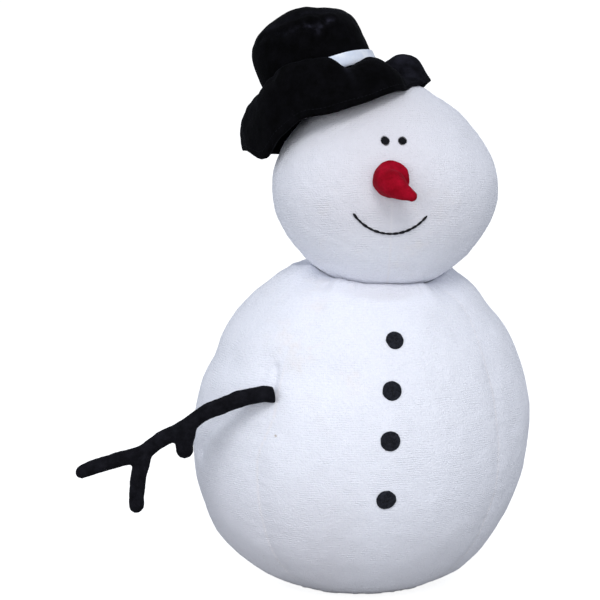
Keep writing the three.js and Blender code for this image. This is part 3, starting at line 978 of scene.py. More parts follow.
# %% [markdown]
# The head is sewn down into the top of the body, whose cloth gives way to it. Every point of the
# body that would be inside the head is moved to the nearest place just outside it, which makes the
# dish that the head sits in. Points that are only near it are drawn in, the nearer the tighter, so
# that the neck's cloth comes right up under the chin.

# %% Seat the head in the body
head_skin_tree = surface_tree(head)
SEAT_GAP = 0.4 * MM


def push_out(points, tree, clearance):
    """Moves points that are inside a skin, or too near it, to just outside it."""
    moved = 0
    for index, point in enumerate(points):
        spot, normal, _, _ = tree.find_nearest(Vector(point))
        if (Vector(point) - spot).dot(normal) < clearance:
            points[index] = spot + normal * clearance
            moved += 1
    return moved


def hug(points, tree, clearance, reach):
    """Pushes out points inside a skin, and draws those within reach in, the nearer the tighter."""
    for index, point in enumerate(points):
        spot, normal, _, _ = tree.find_nearest(Vector(point))
        away = (Vector(point) - spot).dot(normal)
        if away < reach:
            share = max(0.0, (away - clearance) / (reach - clearance))
            points[index] = spot + normal * (clearance + share * share * (reach - clearance))


body_points = get_points(body)
near_neck = np.flatnonzero(body_points[:, 2] > 0.2)
neck_points = body_points[near_neck]
hug(neck_points, head_skin_tree, SEAT_GAP, 9 * MM)
print("points fitted to the head:", len(neck_points))
body_points[near_neck] = neck_points
set_points(body, body_points)
finish_piece(body, PLUSH, "white_plush", "body")
finish_piece(head, PLUSH, "white_plush", "head")

# %% [markdown]
# ## Thread
#
# Sewn thread repeats: a mouth is a row of back stitches, a hem is a row of short ones, and an eye
# is a patch of threads laid side by side. Modelling each stitch by hand would be slow and would
# look copied, so two Geometry Nodes trees make them. One sets stitches along any path at a pitch,
# and the other fills an oval with threads. The first jitters a little from a fixed seed.


# %% Geometry Nodes helpers
def new_tree(name, inputs):
    tree = bpy.data.node_groups.new(name, "GeometryNodeTree")
    tree.interface.new_socket("Geometry", in_out="INPUT", socket_type="NodeSocketGeometry")
    for label, kind in inputs:
        tree.interface.new_socket(label, in_out="INPUT", socket_type=kind)
    tree.interface.new_socket("Geometry", in_out="OUTPUT", socket_type="NodeSocketGeometry")
    return tree, tree.nodes.new("NodeGroupInput"), tree.nodes.new("NodeGroupOutput")


def plug(tree, node, **inputs):
    """Sets or links a node's inputs by name, with _ for a space."""
    for label, value in inputs.items():
        socket = node.inputs[label.replace("_", " ")]
        if isinstance(value, bpy.types.NodeSocket):
            tree.links.new(value, socket)
        else:
            socket.default_value = value
    return node


def triple(tree, x, y, z):
    node = tree.nodes.new("ShaderNodeCombineXYZ")
    for index, value in enumerate((x, y, z)):
        if isinstance(value, (int, float)):
            node.inputs[index].default_value = value
        else:
            tree.links.new(value, node.inputs[index])
    return node.outputs[0]


def end_tree(tree, source, sink, instances):
    """Every tree ends the same way: realize the instances, then set the material."""
    realized = plug(tree, tree.nodes.new("GeometryNodeRealizeInstances"), Geometry=instances)
    dyed = plug(
        tree, tree.nodes.new("GeometryNodeSetMaterial"),
        Geometry=realized.outputs[0], Material=source.outputs["Material"],
    )
    tree.links.new(dyed.outputs[0], sink.inputs[0])


def run_tree(name, tree, mesh, **values):
    """Puts a tree on a mesh, sets its inputs by identifier, and keeps the plain result."""
    carrier = bpy.data.objects.new(name + "_carrier", mesh)
    bpy.context.collection.objects.link(carrier)
    modifier = carrier.modifiers.new(name, "NODES")
    modifier.node_group = tree
    for item in tree.interface.items_tree:
        if item.in_out == "INPUT" and item.name in values:
            modifier[item.identifier] = values[item.name]
    evaluated = carrier.evaluated_get(bpy.context.evaluated_depsgraph_get())
    result = bpy.data.meshes.new_from_object(evaluated)
    bpy.data.objects.remove(carrier)
    result.name = name
    piece = bpy.data.objects.new(name, result)
    bpy.context.collection.objects.link(piece)
    return piece


# %% A tree that sews along a path
def stitch_tree():
    tree, source, sink = new_tree(
        "stitches_along_path",
        [("Pitch", "NodeSocketFloat"), ("Length", "NodeSocketFloat"), ("Thread", "NodeSocketFloat"),
         ("Jitter", "NodeSocketFloat"), ("Seed", "NodeSocketInt"), ("Material", "NodeSocketMaterial")],
    )
    line = plug(tree, tree.nodes.new("GeometryNodeMeshToCurve"), Mesh=source.outputs["Geometry"])
    spots = tree.nodes.new("GeometryNodeCurveToPoints")
    spots.mode = "LENGTH"
    plug(tree, spots, Curve=line.outputs[0], Length=source.outputs["Pitch"])
    turn = tree.nodes.new("FunctionNodeAlignRotationToVector")
    turn.axis = "X"
    plug(tree, turn, Vector=spots.outputs["Tangent"])
    bead = tree.nodes.new("GeometryNodeMeshUVSphere")
    plug(tree, bead, Segments=8, Rings=6, Radius=0.5)
    vary = tree.nodes.new("FunctionNodeRandomValue")
    vary.data_type = "FLOAT"
    low = math_node(tree, "SUBTRACT", 1.0, source.outputs["Jitter"])
    high = math_node(tree, "ADD", 1.0, source.outputs["Jitter"])
    tree.links.new(low, vary.inputs[2])
    tree.links.new(high, vary.inputs[3])
    plug(tree, vary, Seed=source.outputs["Seed"])
    thick = math_node(tree, "MULTIPLY", source.outputs["Thread"], vary.outputs[1])
    size = triple(tree, source.outputs["Length"], thick, thick)
    placed = plug(
        tree, tree.nodes.new("GeometryNodeInstanceOnPoints"), Points=spots.outputs["Points"],
        Instance=bead.outputs["Mesh"], Rotation=turn.outputs[0], Scale=size,
    )
    end_tree(tree, source, sink, placed.outputs[0])
    return tree


STITCHES = stitch_tree()


def path_mesh(name, points):
    mesh = bpy.data.meshes.new(name)
    mesh.from_pydata([tuple(p) for p in points], [(k, k + 1) for k in range(len(points) - 1)], [])
    return mesh


def sew(name, points, pitch, length, thread, material, jitter=0.12, seed=1):
    """One piece of stitches along a line of points, in metres."""
    return run_tree(
        name, STITCHES, path_mesh(name + "_path", points), Pitch=pitch, Length=length,
        Thread=thread, Jitter=jitter, Seed=seed, Material=material,
    )


# %% [markdown]
# ## The face
#
# Eyes, nose and mouth sit where the frame's own solids are, on the swollen skin. Each place is
# found by dropping it onto the head along its facing direction, so that nothing floats.

# %% Find places on the head
face_out = head_frame.to_3x3() @ Vector((0, -1, 0))


def box_middle_of(node):
    low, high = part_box(node)
    return (Vector(low) + Vector(high)) / 2


def on_face(place, lift=0.0):
    """The head's surface under a place, moved out along its normal by lift, and the way it faces there."""
    spot, normal, _, _ = head_skin_tree.ray_cast(place + face_out * 0.05, -face_out)
    return spot + normal * lift, normal


def face_point(side, height, lift=0.0):
    """The same, for a sideways distance and a height from the head's middle."""
    return on_face(head_frame @ Vector((side, -0.1, height)), lift)


# %% A tree that fills an oval with threads
def eye_tree():
    tree, source, sink = new_tree(
        "threads_in_oval",
        [("Half width", "NodeSocketFloat"), ("Half height", "NodeSocketFloat"),
         ("Threads", "NodeSocketInt"), ("Rise", "NodeSocketFloat"), ("Material", "NodeSocketMaterial")],
    )
    half = source.outputs["Half width"]
    spacing = math_node(
        tree, "DIVIDE", math_node(tree, "MULTIPLY", half, 2.0), source.outputs["Threads"]
    )
    start = math_node(tree, "MULTIPLY_ADD", half, -1.0, math_node(tree, "MULTIPLY", spacing, 0.5))
    row = plug(
        tree, tree.nodes.new("GeometryNodeMeshLine"), Count=source.outputs["Threads"],
        Start_Location=triple(tree, start, 0, 0), Offset=triple(tree, spacing, 0, 0),
    )
    place = tree.nodes.new("GeometryNodeInputPosition")
    apart = tree.nodes.new("ShaderNodeSeparateXYZ")
    tree.links.new(place.outputs[0], apart.inputs[0])
    across = math_node(tree, "DIVIDE", apart.outputs["X"], half)
    squared = math_node(tree, "MULTIPLY", across, across)
    share = math_node(tree, "SQRT", math_node(tree, "SUBTRACT", 1.0, squared))
    reach = math_node(tree, "MULTIPLY", source.outputs["Half height"], share)
    bead = plug(tree, tree.nodes.new("GeometryNodeMeshUVSphere"), Segments=8, Rings=8, Radius=1.0)
    width = math_node(tree, "MULTIPLY", spacing, 0.62)
    size = triple(tree, width, reach, math_node(tree, "MULTIPLY", source.outputs["Rise"], share))
    placed = plug(
        tree, tree.nodes.new("GeometryNodeInstanceOnPoints"), Points=row.outputs[0],
        Instance=bead.outputs["Mesh"], Scale=size,
    )
    end_tree(tree, source, sink, placed.outputs[0])
    return tree


EYE_THREADS = eye_tree()
EYE_RISE = 0.9 * MM


def make_eye(node, half_width, half_height, slant, shift):
    """One embroidered eye: a slanting oval of nine threads, turned to face as the skin does."""
    empty = bpy.data.meshes.new(node)
    eye = run_tree(
        node + "_threads", EYE_THREADS, empty, **{
            "Half width": half_width, "Half height": half_height, "Threads": 9,
            "Rise": EYE_RISE, "Material": THREAD,
        },
    )
    spot, normal = on_face(box_middle_of(node) + shift, 0.35 * MM)
    turn = normal.to_track_quat("Z", "Y").to_matrix().to_4x4()
    eye.data.transform(Matrix.Translation(spot) @ turn @ Matrix.Rotation(slant, 4, "Z"))
    finish_piece(eye, THREAD, "black_thread", node)


make_eye("eye_left", 2.9 * MM, 4.4 * MM, math.radians(20), Vector((0, 0, -0.7)) * MM)
make_eye("eye_right", 3 * MM, 3.9 * MM, math.radians(-8), Vector((0.4, 0, -0.7)) * MM)

# %% Sew the mouth
MOUTH_MIDDLE = (-0.9 * MM, -26.5 * MM)
MOUTH_HALF = 24.1 * MM
MOUTH_SAG = 11.1 * MM
MOUTH_TILT = math.radians(-1.8)


def mouth_points(count=80):
    """Points along a smile, an arc of a circle that is tilted a little, laid on the face."""
    radius = (MOUTH_HALF**2 + MOUTH_SAG**2) / (2 * MOUTH_SAG)
    reach = math.asin(MOUTH_HALF / radius)
    points = []
    for k in range(count):
        angle = (2 * k / (count - 1) - 1) * reach
        side = radius * math.sin(angle)
        height = -radius * (math.cos(angle) - math.cos(reach))
        turned_side = side * math.cos(MOUTH_TILT) - height * math.sin(MOUTH_TILT)
        turned_height = side * math.sin(MOUTH_TILT) + height * math.cos(MOUTH_TILT)
        spot, _ = face_point(MOUTH_MIDDLE[0] + turned_side, MOUTH_MIDDLE[1] + turned_height, 0.35 * MM)
        points.append(spot)
    return points


mouth = sew("mouth_stitches", mouth_points(), 4.3 * MM, 6 * MM, 1.9 * MM, THREAD, 0.14, 4)
finish_piece(mouth, THREAD, "black_thread", "mouth")

# %% [markdown]
# ## The nose
#
# The nose is cut from red velour: a round patch on the face with a soft rim, out of which a short
# stuffed cone comes forward and droops down to one side. It is lofted along a bent centre line.
# The rim is a swelling near the root that shows only on the side the cone leans away from,
# because there the cone leaves the patch and a valley forms between them.

# %% Loft the nose
# The centre line from the root to the tip, in the head's frame, and the radius at each point, in
# millimetres.
NOSE_LINE = [
    (0, 3, 0), (-0.6, -2.5, 0), (-0.8, -8, -1.4), (1.7, -13.5, -5.0), (6.9, -17, -9.3), (12.9, -18, -12.4),
]
NOSE_RADII = [12.2, 12.5, 11.2, 9.0, 6.4, 3.9]
NOSE_PLACE = Vector((-0.8 * MM, -0.1, -0.9 * MM))  # the root's middle, before it drops on the face
NOSE_SIDES = 64
NOSE_STEPS = 44
TIP_STEPS = 8
RIM_TOWARDS = math.radians(42)


def smooth_through(values, t):
    """A smooth value through evenly spaced ones, at t from 0 to 1."""
    values = np.asarray(values, dtype=float)
    spot = min(max(t, 0), 1) * (len(values) - 1)
    k = min(int(spot), len(values) - 2)
    u = spot - k
    a, b = values[max(k - 1, 0)], values[k]
    c, d = values[k + 1], values[min(k + 2, len(values) - 1)]
    return between(a, b, c, d, u)


def nose_rings():
    """Rings along the centre line, which close round the tip in a half ball."""
    foot = head_frame.inverted() @ on_face(head_frame @ NOSE_PLACE)[0]
    forward = Vector((0, -1, 0))
    rings = []
    for step in range(NOSE_STEPS + TIP_STEPS):
        t = min(1.0, step / NOSE_STEPS)
        past = max(0, step - NOSE_STEPS) / TIP_STEPS * math.pi / 2
        middle = Vector(smooth_through(NOSE_LINE, t))
        after = smooth_through(NOSE_LINE, min(1, t + 0.02))
        before = smooth_through(NOSE_LINE, max(0, t - 0.02))
        ahead = Vector(after - before)
        ahead.normalize()
        radius = float(smooth_through(NOSE_RADII, t))
        middle = middle + ahead * radius * math.sin(past)
        turn = forward.rotation_difference(ahead)
        ring = []
        for k in range(NOSE_SIDES):
            angle = k / NOSE_SIDES * TURN
            leans_away = max(0.0, math.cos(angle - RIM_TOWARDS)) ** 0.7
            rim = 1.4 * float(bell(t - 0.20, 0.055)) - 2.9 * float(bell(t - 0.37, 0.11))
            r = (radius + rim * leans_away) * math.cos(past)
            around = turn @ Vector((r * math.cos(angle), 0, r * math.sin(angle)))
            ring.append(head_frame @ (foot + (middle + around) * MM))
        rings.append(ring)
    first = head_frame @ (foot + Vector(NOSE_LINE[0]) * MM)
    tip_ahead = Vector(NOSE_LINE[-1]) - Vector(NOSE_LINE[-2])
    tip_ahead.normalize()
    last = head_frame @ (foot + (Vector(NOSE_LINE[-1]) + tip_ahead * NOSE_RADII[-1]) * MM)
    return rings, first, last


nose = skin("nose_skin", *nose_rings())


def press_nose(piece):
    """Soft dents from the stuffing, and the velour's pile."""
    points, normals = get_points(piece), get_normals(piece)
    dents = 0.55 * rough(points, 0.011, 31, 2) + 0.12 * rough(points, 0.0018, 34, 2)
    set_points(piece, points + normals * (dents * MM)[:, None])


def normals_outward(piece):
    """Turns a closed skin's faces outward, whichever way its rings ran."""
    work = bmesh.new()
    work.from_mesh(piece.data)
    bmesh.ops.remove_doubles(work, verts=work.verts, dist=0.01 * MM)
    bmesh.ops.recalc_face_normals(work, faces=work.faces)
    work.to_mesh(piece.data)
    work.free()


normals_outward(nose)
subdivide(nose, 1)
press_nose(nose)
finish_piece(nose, RED, "red_velour", "nose")

# %% [markdown]
# ## The buttons
#
# Four black felt discs are sewn down the front. Felt has no cut edge to fray, but its outline is
# never a true circle. Each disc is a low dome whose edge wanders with noise, laid on the body by
# bending it to the skin beneath, with a cross of short stitches holding it.

# %% Lay felt on the body
body_skin_tree = surface_tree(body)
BUTTON_RISE = 2.0 * MM
BUTTON_SIDES = 64
# The dome from its edge to its middle: shares of its radius and of its rise.
BUTTON_PROFILE = [
    (0.97, -0.1), (1.0, 0.2), (0.96, 0.5), (0.86, 0.78), (0.7, 0.92), (0.45, 0.98), (0.2, 1.0),
]


def on_body(place):
    """The body's surface straight behind a place, and the way it faces there."""
    spot, normal, _, _ = body_skin_tree.ray_cast(place + Vector((0, -0.05, 0)), Vector((0, 1, 0)))
    return spot, normal


def make_button(node, seed):
    """One felt disc bent to the body, with a cross of stitches."""
    low, high = (Vector(corner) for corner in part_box(node))
    radius = (high.x - low.x) / 2
    middle, normal = on_body((low + high) / 2)
    turn = normal.to_track_quat("Z", "Y").to_matrix()
    rings = []
    for share, rise in BUTTON_PROFILE:
        ring = []
        for k in range(BUTTON_SIDES):
            angle = k / BUTTON_SIDES * TURN
            wander = noise.noise(Vector((math.cos(angle), math.sin(angle), seed * 3.7)) * 1.6)
            r = radius * share * (1 + 0.055 * wander * share)
            flat = turn @ Vector((r * math.cos(angle), r * math.sin(angle), 0))
            spot, _ = on_body(middle + flat)
            ring.append(spot + normal * rise * BUTTON_RISE)
        rings.append(ring)
    top = middle + normal * BUTTON_RISE
    button = skin(node + "_felt", rings, middle - normal * 0.2 * BUTTON_RISE, top)
    normals_outward(button)
    subdivide(button, 1)
    points, normals = get_points(button), get_normals(button)
    fuzz = 0.16 * rough(points, 0.0012, 40 + seed, 2)
    set_points(button, points + normals * (fuzz * MM)[:, None])
    finish_piece(button, FELT, "black_felt", node)
    for name, direction in (("across", (1, 0.25, 0)), ("down", (-0.25, 1, 0))):
        along = (turn @ Vector(direction)).normalized() * radius * 0.42
        line = [top + normal * 0.1 * MM + along * s for s in (-1, -0.34, 0.34, 1)]
        tie = sew(f"{node}_tie_{name}", line, 1.9 * MM, 2.2 * MM, 0.55 * MM, THREAD, 0.1, seed)
        finish_piece(tie, THREAD, "black_thread")


for seed, node in enumerate(("button_top", "button_upper", "button_lower", "button_bottom"), start=1):
    make_button(node, seed)

# %% [markdown]
# ## The arm
#
# The forked arm is a stuffed velour tube. Its solid in the frame already has the right bends and
# forks, so a copy of it is merged, remeshed fine enough to lose its facets, and smoothed, which
# rounds the crotches of the forks as stuffing does. Lumps are pressed in, the stretch over the
# body bows up a little, and the root is cut square, as it is where a tube is sewn into a seam.

# %% Round the arm off
ROOT_LONGER = 6 * MM  # added to the root first, so that smoothing rounds only what is cut off
ROOT_CUT = Vector((-5.9, 0, 0)) * MM  # from the arm's root to the cut
ARM_BOW = 1.7 * MM
BOW_RIGHT, BOW_LEFT = -80 * MM, -142 * MM


def copy_of_node(node, name):
    """A node's solid as a new piece, with its loose triangles merged."""
    work = bmesh.new()
    work.from_mesh(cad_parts[node].data)
    bmesh.ops.remove_doubles(work, verts=work.verts, dist=0.01 * MM)
    mesh = bpy.data.meshes.new(name)
    work.to_mesh(mesh)
    work.free()
    piece = bpy.data.objects.new(name, mesh)
    bpy.context.collection.objects.link(piece)
    return piece


def cut_square(piece, place, direction):
    """Takes off what is past a plane and closes the cut, as where a limb enters a seam."""
    work = bmesh.new()
    work.from_mesh(piece.data)
    everything = [*work.verts, *work.edges, *work.faces]
    cut = bmesh.ops.bisect_plane(
        work, geom=everything, plane_co=place, plane_no=direction, clear_outer=True
    )
    rim = [item for item in cut["geom_cut"] if isinstance(item, bmesh.types.BMEdge)]
    bmesh.ops.holes_fill(work, edges=rim)
    bmesh.ops.recalc_face_normals(work, faces=work.faces)
    work.to_mesh(piece.data)
    work.free()


arm = copy_of_node("arm", "arm_skin")
points = get_points(arm)
points[points[:, 0] > arm_high.x - 3 * MM, 0] += ROOT_LONGER
set_points(arm, points)
remesh = arm.modifiers.new("even", "REMESH")
remesh.mode = "VOXEL"
remesh.voxel_size = 1.5 * MM
soften = arm.modifiers.new("soften", "SMOOTH")
soften.factor = 0.5
soften.iterations = 10
apply_modifiers(arm)
subdivide(arm, 1)
points, normals = get_points(arm), get_normals(arm)
lumps = 0.35 + 0.5 * rough(points, 0.012, 51, 2) + 0.12 * rough(points, 0.0016, 54, 2)
points += normals * (lumps * MM)[:, None]
over_body = ease((BOW_RIGHT - points[:, 0]) / (10 * MM)) * ease((points[:, 0] - BOW_LEFT) / (14 * MM))
points[:, 2] += ARM_BOW * over_body
set_points(arm, points)
cut_square(arm, ARM_ROOT + ROOT_CUT, Vector((1, 0.1, 0.1)))
finish_piece(arm, VELOUR, "black_velour", "arm")

# %% [markdown]
# ## The hat
#
# The hat has a stuffed crown and a wide brim of doubled velvet that is gathered where it meets the
# crown. It is modelled in its own leaning frame. The brim's edge is given by a few knots round the
# hat: how high the cloth stands at its root, how high it rolls, how far out it reaches and how far
# it hangs. Between them the cloth takes folds, and it is pushed off the head wherever it would
# sink into it, which is how it comes to lie on the forehead.

# %% The hat's frame and crown
HAT_MIDDLE = Vector((-30.6, 3, 378.3)) * MM
HAT_TURN, HAT_BACK, HAT_SIDE = math.radians(-11), math.radians(-12.7), math.radians(-20)
CROWN_RADIUS = 42 * MM
CROWN_HEIGHT = 54 * MM
CROWN_SEAT = 46 * MM
CROWN_FOOT = 27.5 * MM
CROWN_SKEW = -2 * MM
CROWN_TUCK = -16 * MM  # how far down inside the brim the crown's foot goes
hat_frame = (
    Matrix.Translation(HAT_MIDDLE) @ Matrix.Rotation(HAT_TURN, 4, "Z")
    @ Matrix.Rotation(HAT_BACK, 4, "X") @ Matrix.Rotation(HAT_SIDE, 4, "Y")
)
hat_array = np.array(hat_frame)


def to_world(local):
    """From the hat's own frame to the snowman's."""
    return local @ hat_array[:3, :3].T + hat_array[:3, 3]


def to_hat(points):
    """From the snowman's frame to the hat's own."""
    return (points - hat_array[:3, 3]) @ hat_array[:3, :3]


def crown_radius(n):
    """The crown's radius at a height: a cone below the brim's root, and a soft cylinder above."""
    if n <= 0:
        return CROWN_RADIUS + (CROWN_FOOT - CROWN_RADIUS) * (-n / CROWN_SEAT)
    return CROWN_RADIUS * (1 - min(1, n / CROWN_HEIGHT) ** 6) ** (1 / 2.2)


def crown_drift(n):
    """How far the crown leans sideways at a height."""
    return CROWN_SKEW * math.sin(math.pi * max(0, n / CROWN_HEIGHT) * 0.8)


def crown_ring(n, extra=0.0, sides=96):
    angles = np.arange(sides) / sides * TURN
    radius = crown_radius(n) + extra
    local = np.stack(
        [crown_drift(n) + radius * np.cos(angles), radius * np.sin(angles), np.full(sides, n)], -1
    )
    return to_world(local)


upper = CROWN_HEIGHT * np.sin(np.linspace(0, 0.985, 30) * math.pi / 2)
foot_heights = np.linspace(CROWN_TUCK, 0, 6)[:-1]
crown_rings = [crown_ring(float(n)) for n in [*foot_heights, *upper]]
crown_foot = to_world(np.array([[0, 0, CROWN_TUCK]]))[0]
crown_top = to_world(np.array([[crown_drift(CROWN_HEIGHT), 0, CROWN_HEIGHT]]))[0]
crown = skin("crown_skin", crown_rings, crown_foot, crown_top)
normals_outward(crown)

# %% Press wrinkles into the crown
# Each one: where it starts and ends in the hat's frame, in millimetres, and how bright its painted
# highlight is.
CROWN_WRINKLES = [
    ((-1, -41, 34), (9, -40, 32), 0.8),
    ((14, -38, 35), (20, -35, 37), 0.75),
    ((5, -41, 34), (6, -42, 28), 0.5),
    ((-32, -23, 40), (-18, -37, 35), 0.2),
    ((-18, -37, 35), (-5, -41, 34), 0.25),
]


def press_crown(piece):
    points, normals = get_points(piece), get_normals(piece)
    local = to_hat(points)
    height = local[:, 2]
    # The round top panel's seam and the wrinkles, with a painted highlight along each, broken into spots.
    depth = 0.35 * bell(height - 43 * MM, 1.8 * MM)
    painted_highlight = 0.10 * bell(height - 44 * MM, 2 * MM)
    wear_and_highlight_marks = np.clip(0.5 + 0.9 * rough(points, 0.004, 61, 2), 0, 1)
    for start, end, shine in CROWN_WRINKLES:
        away = near_line(local, [np.array(start) * MM, np.array(end) * MM])
        depth += 1.2 * bell(away, 2.2 * MM) - 0.8 * bell(away - 5 * MM, 2.5 * MM)
        painted_highlight = np.maximum(painted_highlight, shine * wear_and_highlight_marks * bell(away, 1.8 * MM))
    lumps = 0.9 * rough(points, 0.04, 61, 2) + 0.2 * rough(points, 0.006, 63, 2) - 0.4
    fade = ease((height + 2 * MM) / (10 * MM))
    # The stuffing has settled: the top is highest left of its middle, and the right shoulder sags.
    settled = 1.3 * bell(local[:, 0] + 5 * MM, 11 * MM)
    settled -= 2.4 * ease((local[:, 0] - 4 * MM) / (12 * MM))
    settled *= ease((height - 22 * MM) / (16 * MM))
    points += (settled * MM)[:, None] * hat_array[:3, 2]
    set_points(piece, points + normals * ((lumps * fade - depth) * MM)[:, None])
    store(piece, "painted_highlight", painted_highlight)


held = (to_hat(get_points(crown))[:, 2] < 9 * MM).astype(float)
inflate(crown, held, pressure=1.5, cap=0.8 * MM, frames=12)
subdivide(crown, 1)
press_crown(crown)
finish_piece(crown, VELVET, "black_velvet", "hat_crown")


# %% The satin band
def hoop(name, loops):
    """A closed ring of cloth over loops of points, the last joined to the first."""
    loops = np.asarray(loops)
    count, sides = loops.shape[:2]
    faces = []
    for loop in range(count):
        after = (loop + 1) % count
        for side in range(sides):
            a, b = side, (side + 1) % sides
            faces.append((loop * sides + a, loop * sides + b, after * sides + b, after * sides + a))
    mesh = bpy.data.meshes.new(name)
    mesh.from_pydata([tuple(p) for p in loops.reshape(-1, 3)], [], faces)
    piece = bpy.data.objects.new(name, mesh)
    bpy.context.collection.objects.link(piece)
    normals_outward(piece)
    return piece


RIBBON_LOW, RIBBON_WIDE = -2.6 * MM, 10 * MM
ribbon_levels = RIBBON_LOW + RIBBON_WIDE * np.linspace(0, 1, 9)
ribbon = hoop(
    "ribbon_band",
    [crown_ring(float(n), 1.15 * MM, 144) for n in ribbon_levels]
    + [crown_ring(float(n), 0.7 * MM, 144) for n in ribbon_levels[::-1]],
)
ribbon_points = get_points(ribbon)
ribbon_local = to_hat(ribbon_points)
ripple = 0.22 * rough(ribbon_points, 0.009, 71, 2)
set_points(ribbon, ribbon_points + get_normals(ribbon) * (ripple * MM)[:, None])
ribbon_angles = np.arctan2(ribbon_local[:, 1], ribbon_local[:, 0])
ribbon_reaches = np.full(len(ribbon_angles), CROWN_RADIUS)
lay_cloth(ribbon, ribbon_angles, ribbon_reaches, ribbon_local[:, 2], [0, math.pi])
finish_piece(ribbon, SATIN, "satin_ribbon", "hat_band")

# %% The brim's knots
# Each knot: its angle round the hat from the right by the back, then in millimetres how high the
# cloth starts and rolls, how far out its edge is, and how far it hangs.
BRIM_KNOTS = [
    (0, -6, 2, 72, 27), (25, -6, 1, 76, 26), (60, -5, 0, 76, 36), (95, -4, 2, 75, 38),
    (130, -4, -2, 72, 31), (160, -3, 3, 71, 26), (183, -1, 6, 70, 30), (205, 1, 9, 67, 44),
    (225, 5, 16, 65, 37), (245, 6, 20, 65, 31), (262, 4, 17, 66, 35), (276, 1, 11, 67, 36),
    (287, -8, -3, 68, 36), (312, -7, 0, 67, 34), (328, -10, -9, 64, 34), (345, -7, -4, 69, 30),
]
# Each fold: its angle round the hat and its width in degrees, its place and width as shares of the
# way from root to edge, and how far the cloth moves out, in millimetres.
BRIM_FOLDS = [
    (286, 4, 0.10, 0.22, -2.6),  # the pucker beside the arch
    (312, 12, 0.18, 0.20, 2.8),  # the hump after it
    (338, 8, 0.45, 0.34, -18.0),  # the valley
    (358, 10, 0.60, 0.26, 3.2),  # the right curl, and the notch in it
    (12, 5, 0.75, 0.25, -2.2),
    (228, 8, 0.42, 0.16, -2.4),  # the dent left of the arch
]
BRIM_THICK = 2.2 * MM
BRIM_START = CROWN_RADIUS + 3.1 * MM
BRIM_ROLL = 5 * MM
BRIM_SIDES = 320
BRIM_STEPS = 44


def round_knots(degrees, field):
    """One of the knots' numbers at angles, smoothly and round a full turn, in metres."""
    at = np.array([knot[0] for knot in BRIM_KNOTS], dtype=float)
    values = np.array([knot[field] for knot in BRIM_KNOTS], dtype=float)
    count = len(at)
    degrees = np.mod(degrees, 360)
    k = np.searchsorted(at, degrees, side="right") - 1
    following = np.where(k + 1 < count, at[(k + 1) % count], at[0] + 360)
    u = (degrees - at[k]) / (following - at[k])
    a, b = values[(k - 1) % count], values[k]
    c, d = values[(k + 1) % count], values[(k + 2) % count]
    return MM * between(a, b, c, d, u)


# %% Hang and fold the brim
def brim_middle():
    """The brim's middle surface, as loops from its root to its edge."""
    degrees = np.arange(BRIM_SIDES) / BRIM_SIDES * 360
    angles = np.radians(degrees)
    root, top, radius, drop = (round_knots(degrees, field) for field in (1, 2, 3, 4))
    loops = []
    for t in np.linspace(0, 1, BRIM_STEPS):
        a, b, c, d = (1 - t) ** 3, 3 * (1 - t) ** 2 * t, 3 * (1 - t) * t * t, t**3
        out = a * BRIM_START + b * (BRIM_START + BRIM_ROLL) + (c + d) * radius
        height = a * root + b * top + c * (top / 2 - BRIM_ROLL) - d * drop
        loops.append(np.stack([out * np.cos(angles), out * np.sin(angles), height], -1))
    return np.array(loops), degrees


def loop_normals(loops):
    """The way that a surface of loops faces, at each of its points."""
    along = np.roll(loops, -1, 1) - np.roll(loops, 1, 1)
    outward = np.gradient(loops, axis=0)
    normals = np.cross(outward, along)
    return normals / np.linalg.norm(normals, axis=2, keepdims=True)


def fold_brim(loops, degrees):
    """Moves the middle surface by its gathers, its slow waves, its named folds and fine creases."""
    share = np.linspace(0, 1, BRIM_STEPS)[:, None]
    turn = np.radians(degrees)[None, :]
    circle = [Vector((math.cos(a) * 2.2, math.sin(a) * 2.2, 4.1)) for a in turn[0]]
    wander = np.array([noise.noise(place) for place in circle])
    gathers = np.sin(turn * 17 + wander * 5) * bell(share - 0.16, 0.16)
    waves = np.sin(turn * 5 + 0.8) + 0.6 * np.sin(turn * 8 + 2.1 + wander * 2)
    move = 0.7 * gathers + 1.1 * waves * ease(share * 1.2 - 0.2)
    for angle, width, place, reach, out in BRIM_FOLDS:
        apart = (degrees[None, :] - angle + 180) % 360 - 180
        move += out * bell(apart, width) * bell(share - place, reach)
    flat = loops.reshape(-1, 3)
    creases = rough(flat, 0.020, 81, 3).reshape(loops.shape[:2])
    move += 1.1 * creases * ease(share * 3)
    return loops + loop_normals(loops) * (move * MM)[..., None]


brim_loops, brim_degrees = brim_middle()
brim_loops = fold_brim(brim_loops, brim_degrees)
brim_world = to_world(brim_loops.reshape(-1, 3))
print("brim points laid on the head:", push_out(brim_world, head_skin_tree, BRIM_THICK / 2 + 0.9 * MM))
brim_world = brim_world.reshape(brim_loops.shape)
for _ in range(2):  # the cloth is too stiff to follow every step of that push
    brim_world[1:-1] = (brim_world[:-2] + 2 * brim_world[1:-1] + brim_world[2:]) / 4
    brim_world = blurred(brim_world, 1, True)
brim_up = loop_normals(brim_world)


def brim_side(offset, hem=0.0):
    """One face of the doubled cloth, thicker below the hem's stitches."""
    share = np.linspace(0, 1, BRIM_STEPS)
    turned_edge = hem * ease((share - 0.95) / 0.02)
    return brim_world + brim_up * (offset + np.sign(offset) * turned_edge)[:, None, None]


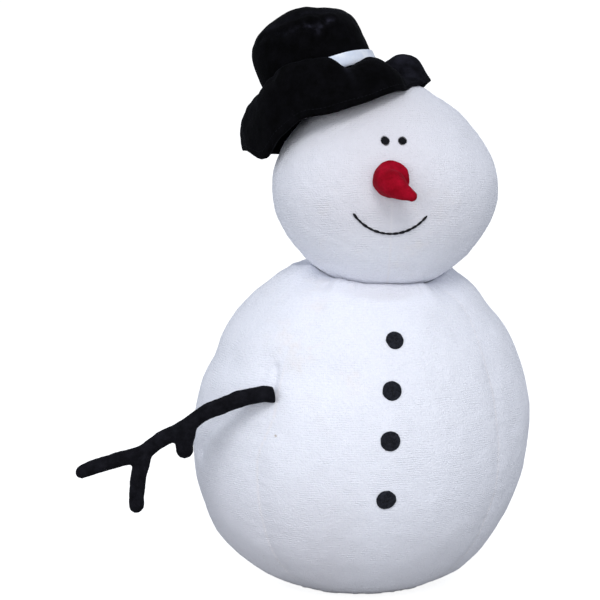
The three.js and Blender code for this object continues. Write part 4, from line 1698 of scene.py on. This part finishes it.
under_side, upper_side = brim_side(-BRIM_THICK / 2, 0.35 * MM), brim_side(BRIM_THICK / 2, 0.35 * MM)
brim = hoop("brim_velvet", [*under_side, *upper_side[::-1]])
points, normals = get_points(brim), get_normals(brim)
set_points(brim, points + normals * (0.22 * rough(points, 0.005, 85, 2) * MM)[:, None])
brim_local = to_hat(points)
around = np.degrees(np.arctan2(brim_local[:, 1], brim_local[:, 0]))
outward = np.hypot(brim_local[:, 0], brim_local[:, 1])
# Painted highlight: the velvet is drawn lighter on the right curl, along the arch and on the pucker beside
# it.
curl = 0.3 * bell(around + 8, 20) * bell(outward - 60 * MM, 16 * MM)
arch = 0.15 * bell(around + 112, 20) * bell(outward - 50 * MM, 2 * MM)
pucker = 0.7 * bell(around + 76, 2.0) * bell(outward - 54 * MM, 7 * MM)
store(brim, "painted_highlight", np.maximum.reduce([curl, arch, pucker]))
finish_piece(brim, VELVET, "black_velvet", "hat_brim")


# %% [markdown]
# The brim's edge is turned under and stitched a little above it. A plush seam shows its thread
# only as tiny pale ticks in the groove, best seen down the right of the front panel.

# %% Sew the hem and the seams
HEM_STEP = int(0.96 * (BRIM_STEPS - 1))
HEM_LIFT = BRIM_THICK / 2 + 0.1 * MM


def far_out(line):
    """How far from the hat's own axis a line of points is."""
    return np.linalg.norm(to_hat(line)[:, :2], axis=1).mean()


hem_sides = [brim_world[HEM_STEP] + brim_up[HEM_STEP] * lift for lift in (-HEM_LIFT, HEM_LIFT)]
hem_line = max(hem_sides, key=far_out)
hem = sew("brim_hem", [*hem_line, hem_line[0]], 3.0 * MM, 2.3 * MM, 0.5 * MM, VELOUR, 0.1, 6)
finish_piece(hem, VELOUR, "black_thread")


def seam_line(which, low, high, count=160):
    """Points in a body seam's groove between two heights."""
    points = []
    for z in np.linspace(low, high, count):
        angle = float(body_seams(np.array([z]))[which][0])
        out = Vector((math.sin(angle), -math.cos(angle), 0))
        start = Vector((BODY_MIDDLE_X, 0, float(z)))
        spot, normal, _, _ = body_skin_tree.ray_cast(start + out * 0.3, -out)
        points.append(spot + normal * 0.05 * MM)
    return points


for which, (name, high) in enumerate((("left", 0.150), ("right", 0.225), ("back", 0.225))):
    line = seam_line(which, 0.03, high)
    seam = sew(f"seam_{name}_thread", line, 4.4 * MM, 2.2 * MM, 0.38 * MM, CREAM, 0.15, 8)
    finish_piece(seam, CREAM, "white_plush")
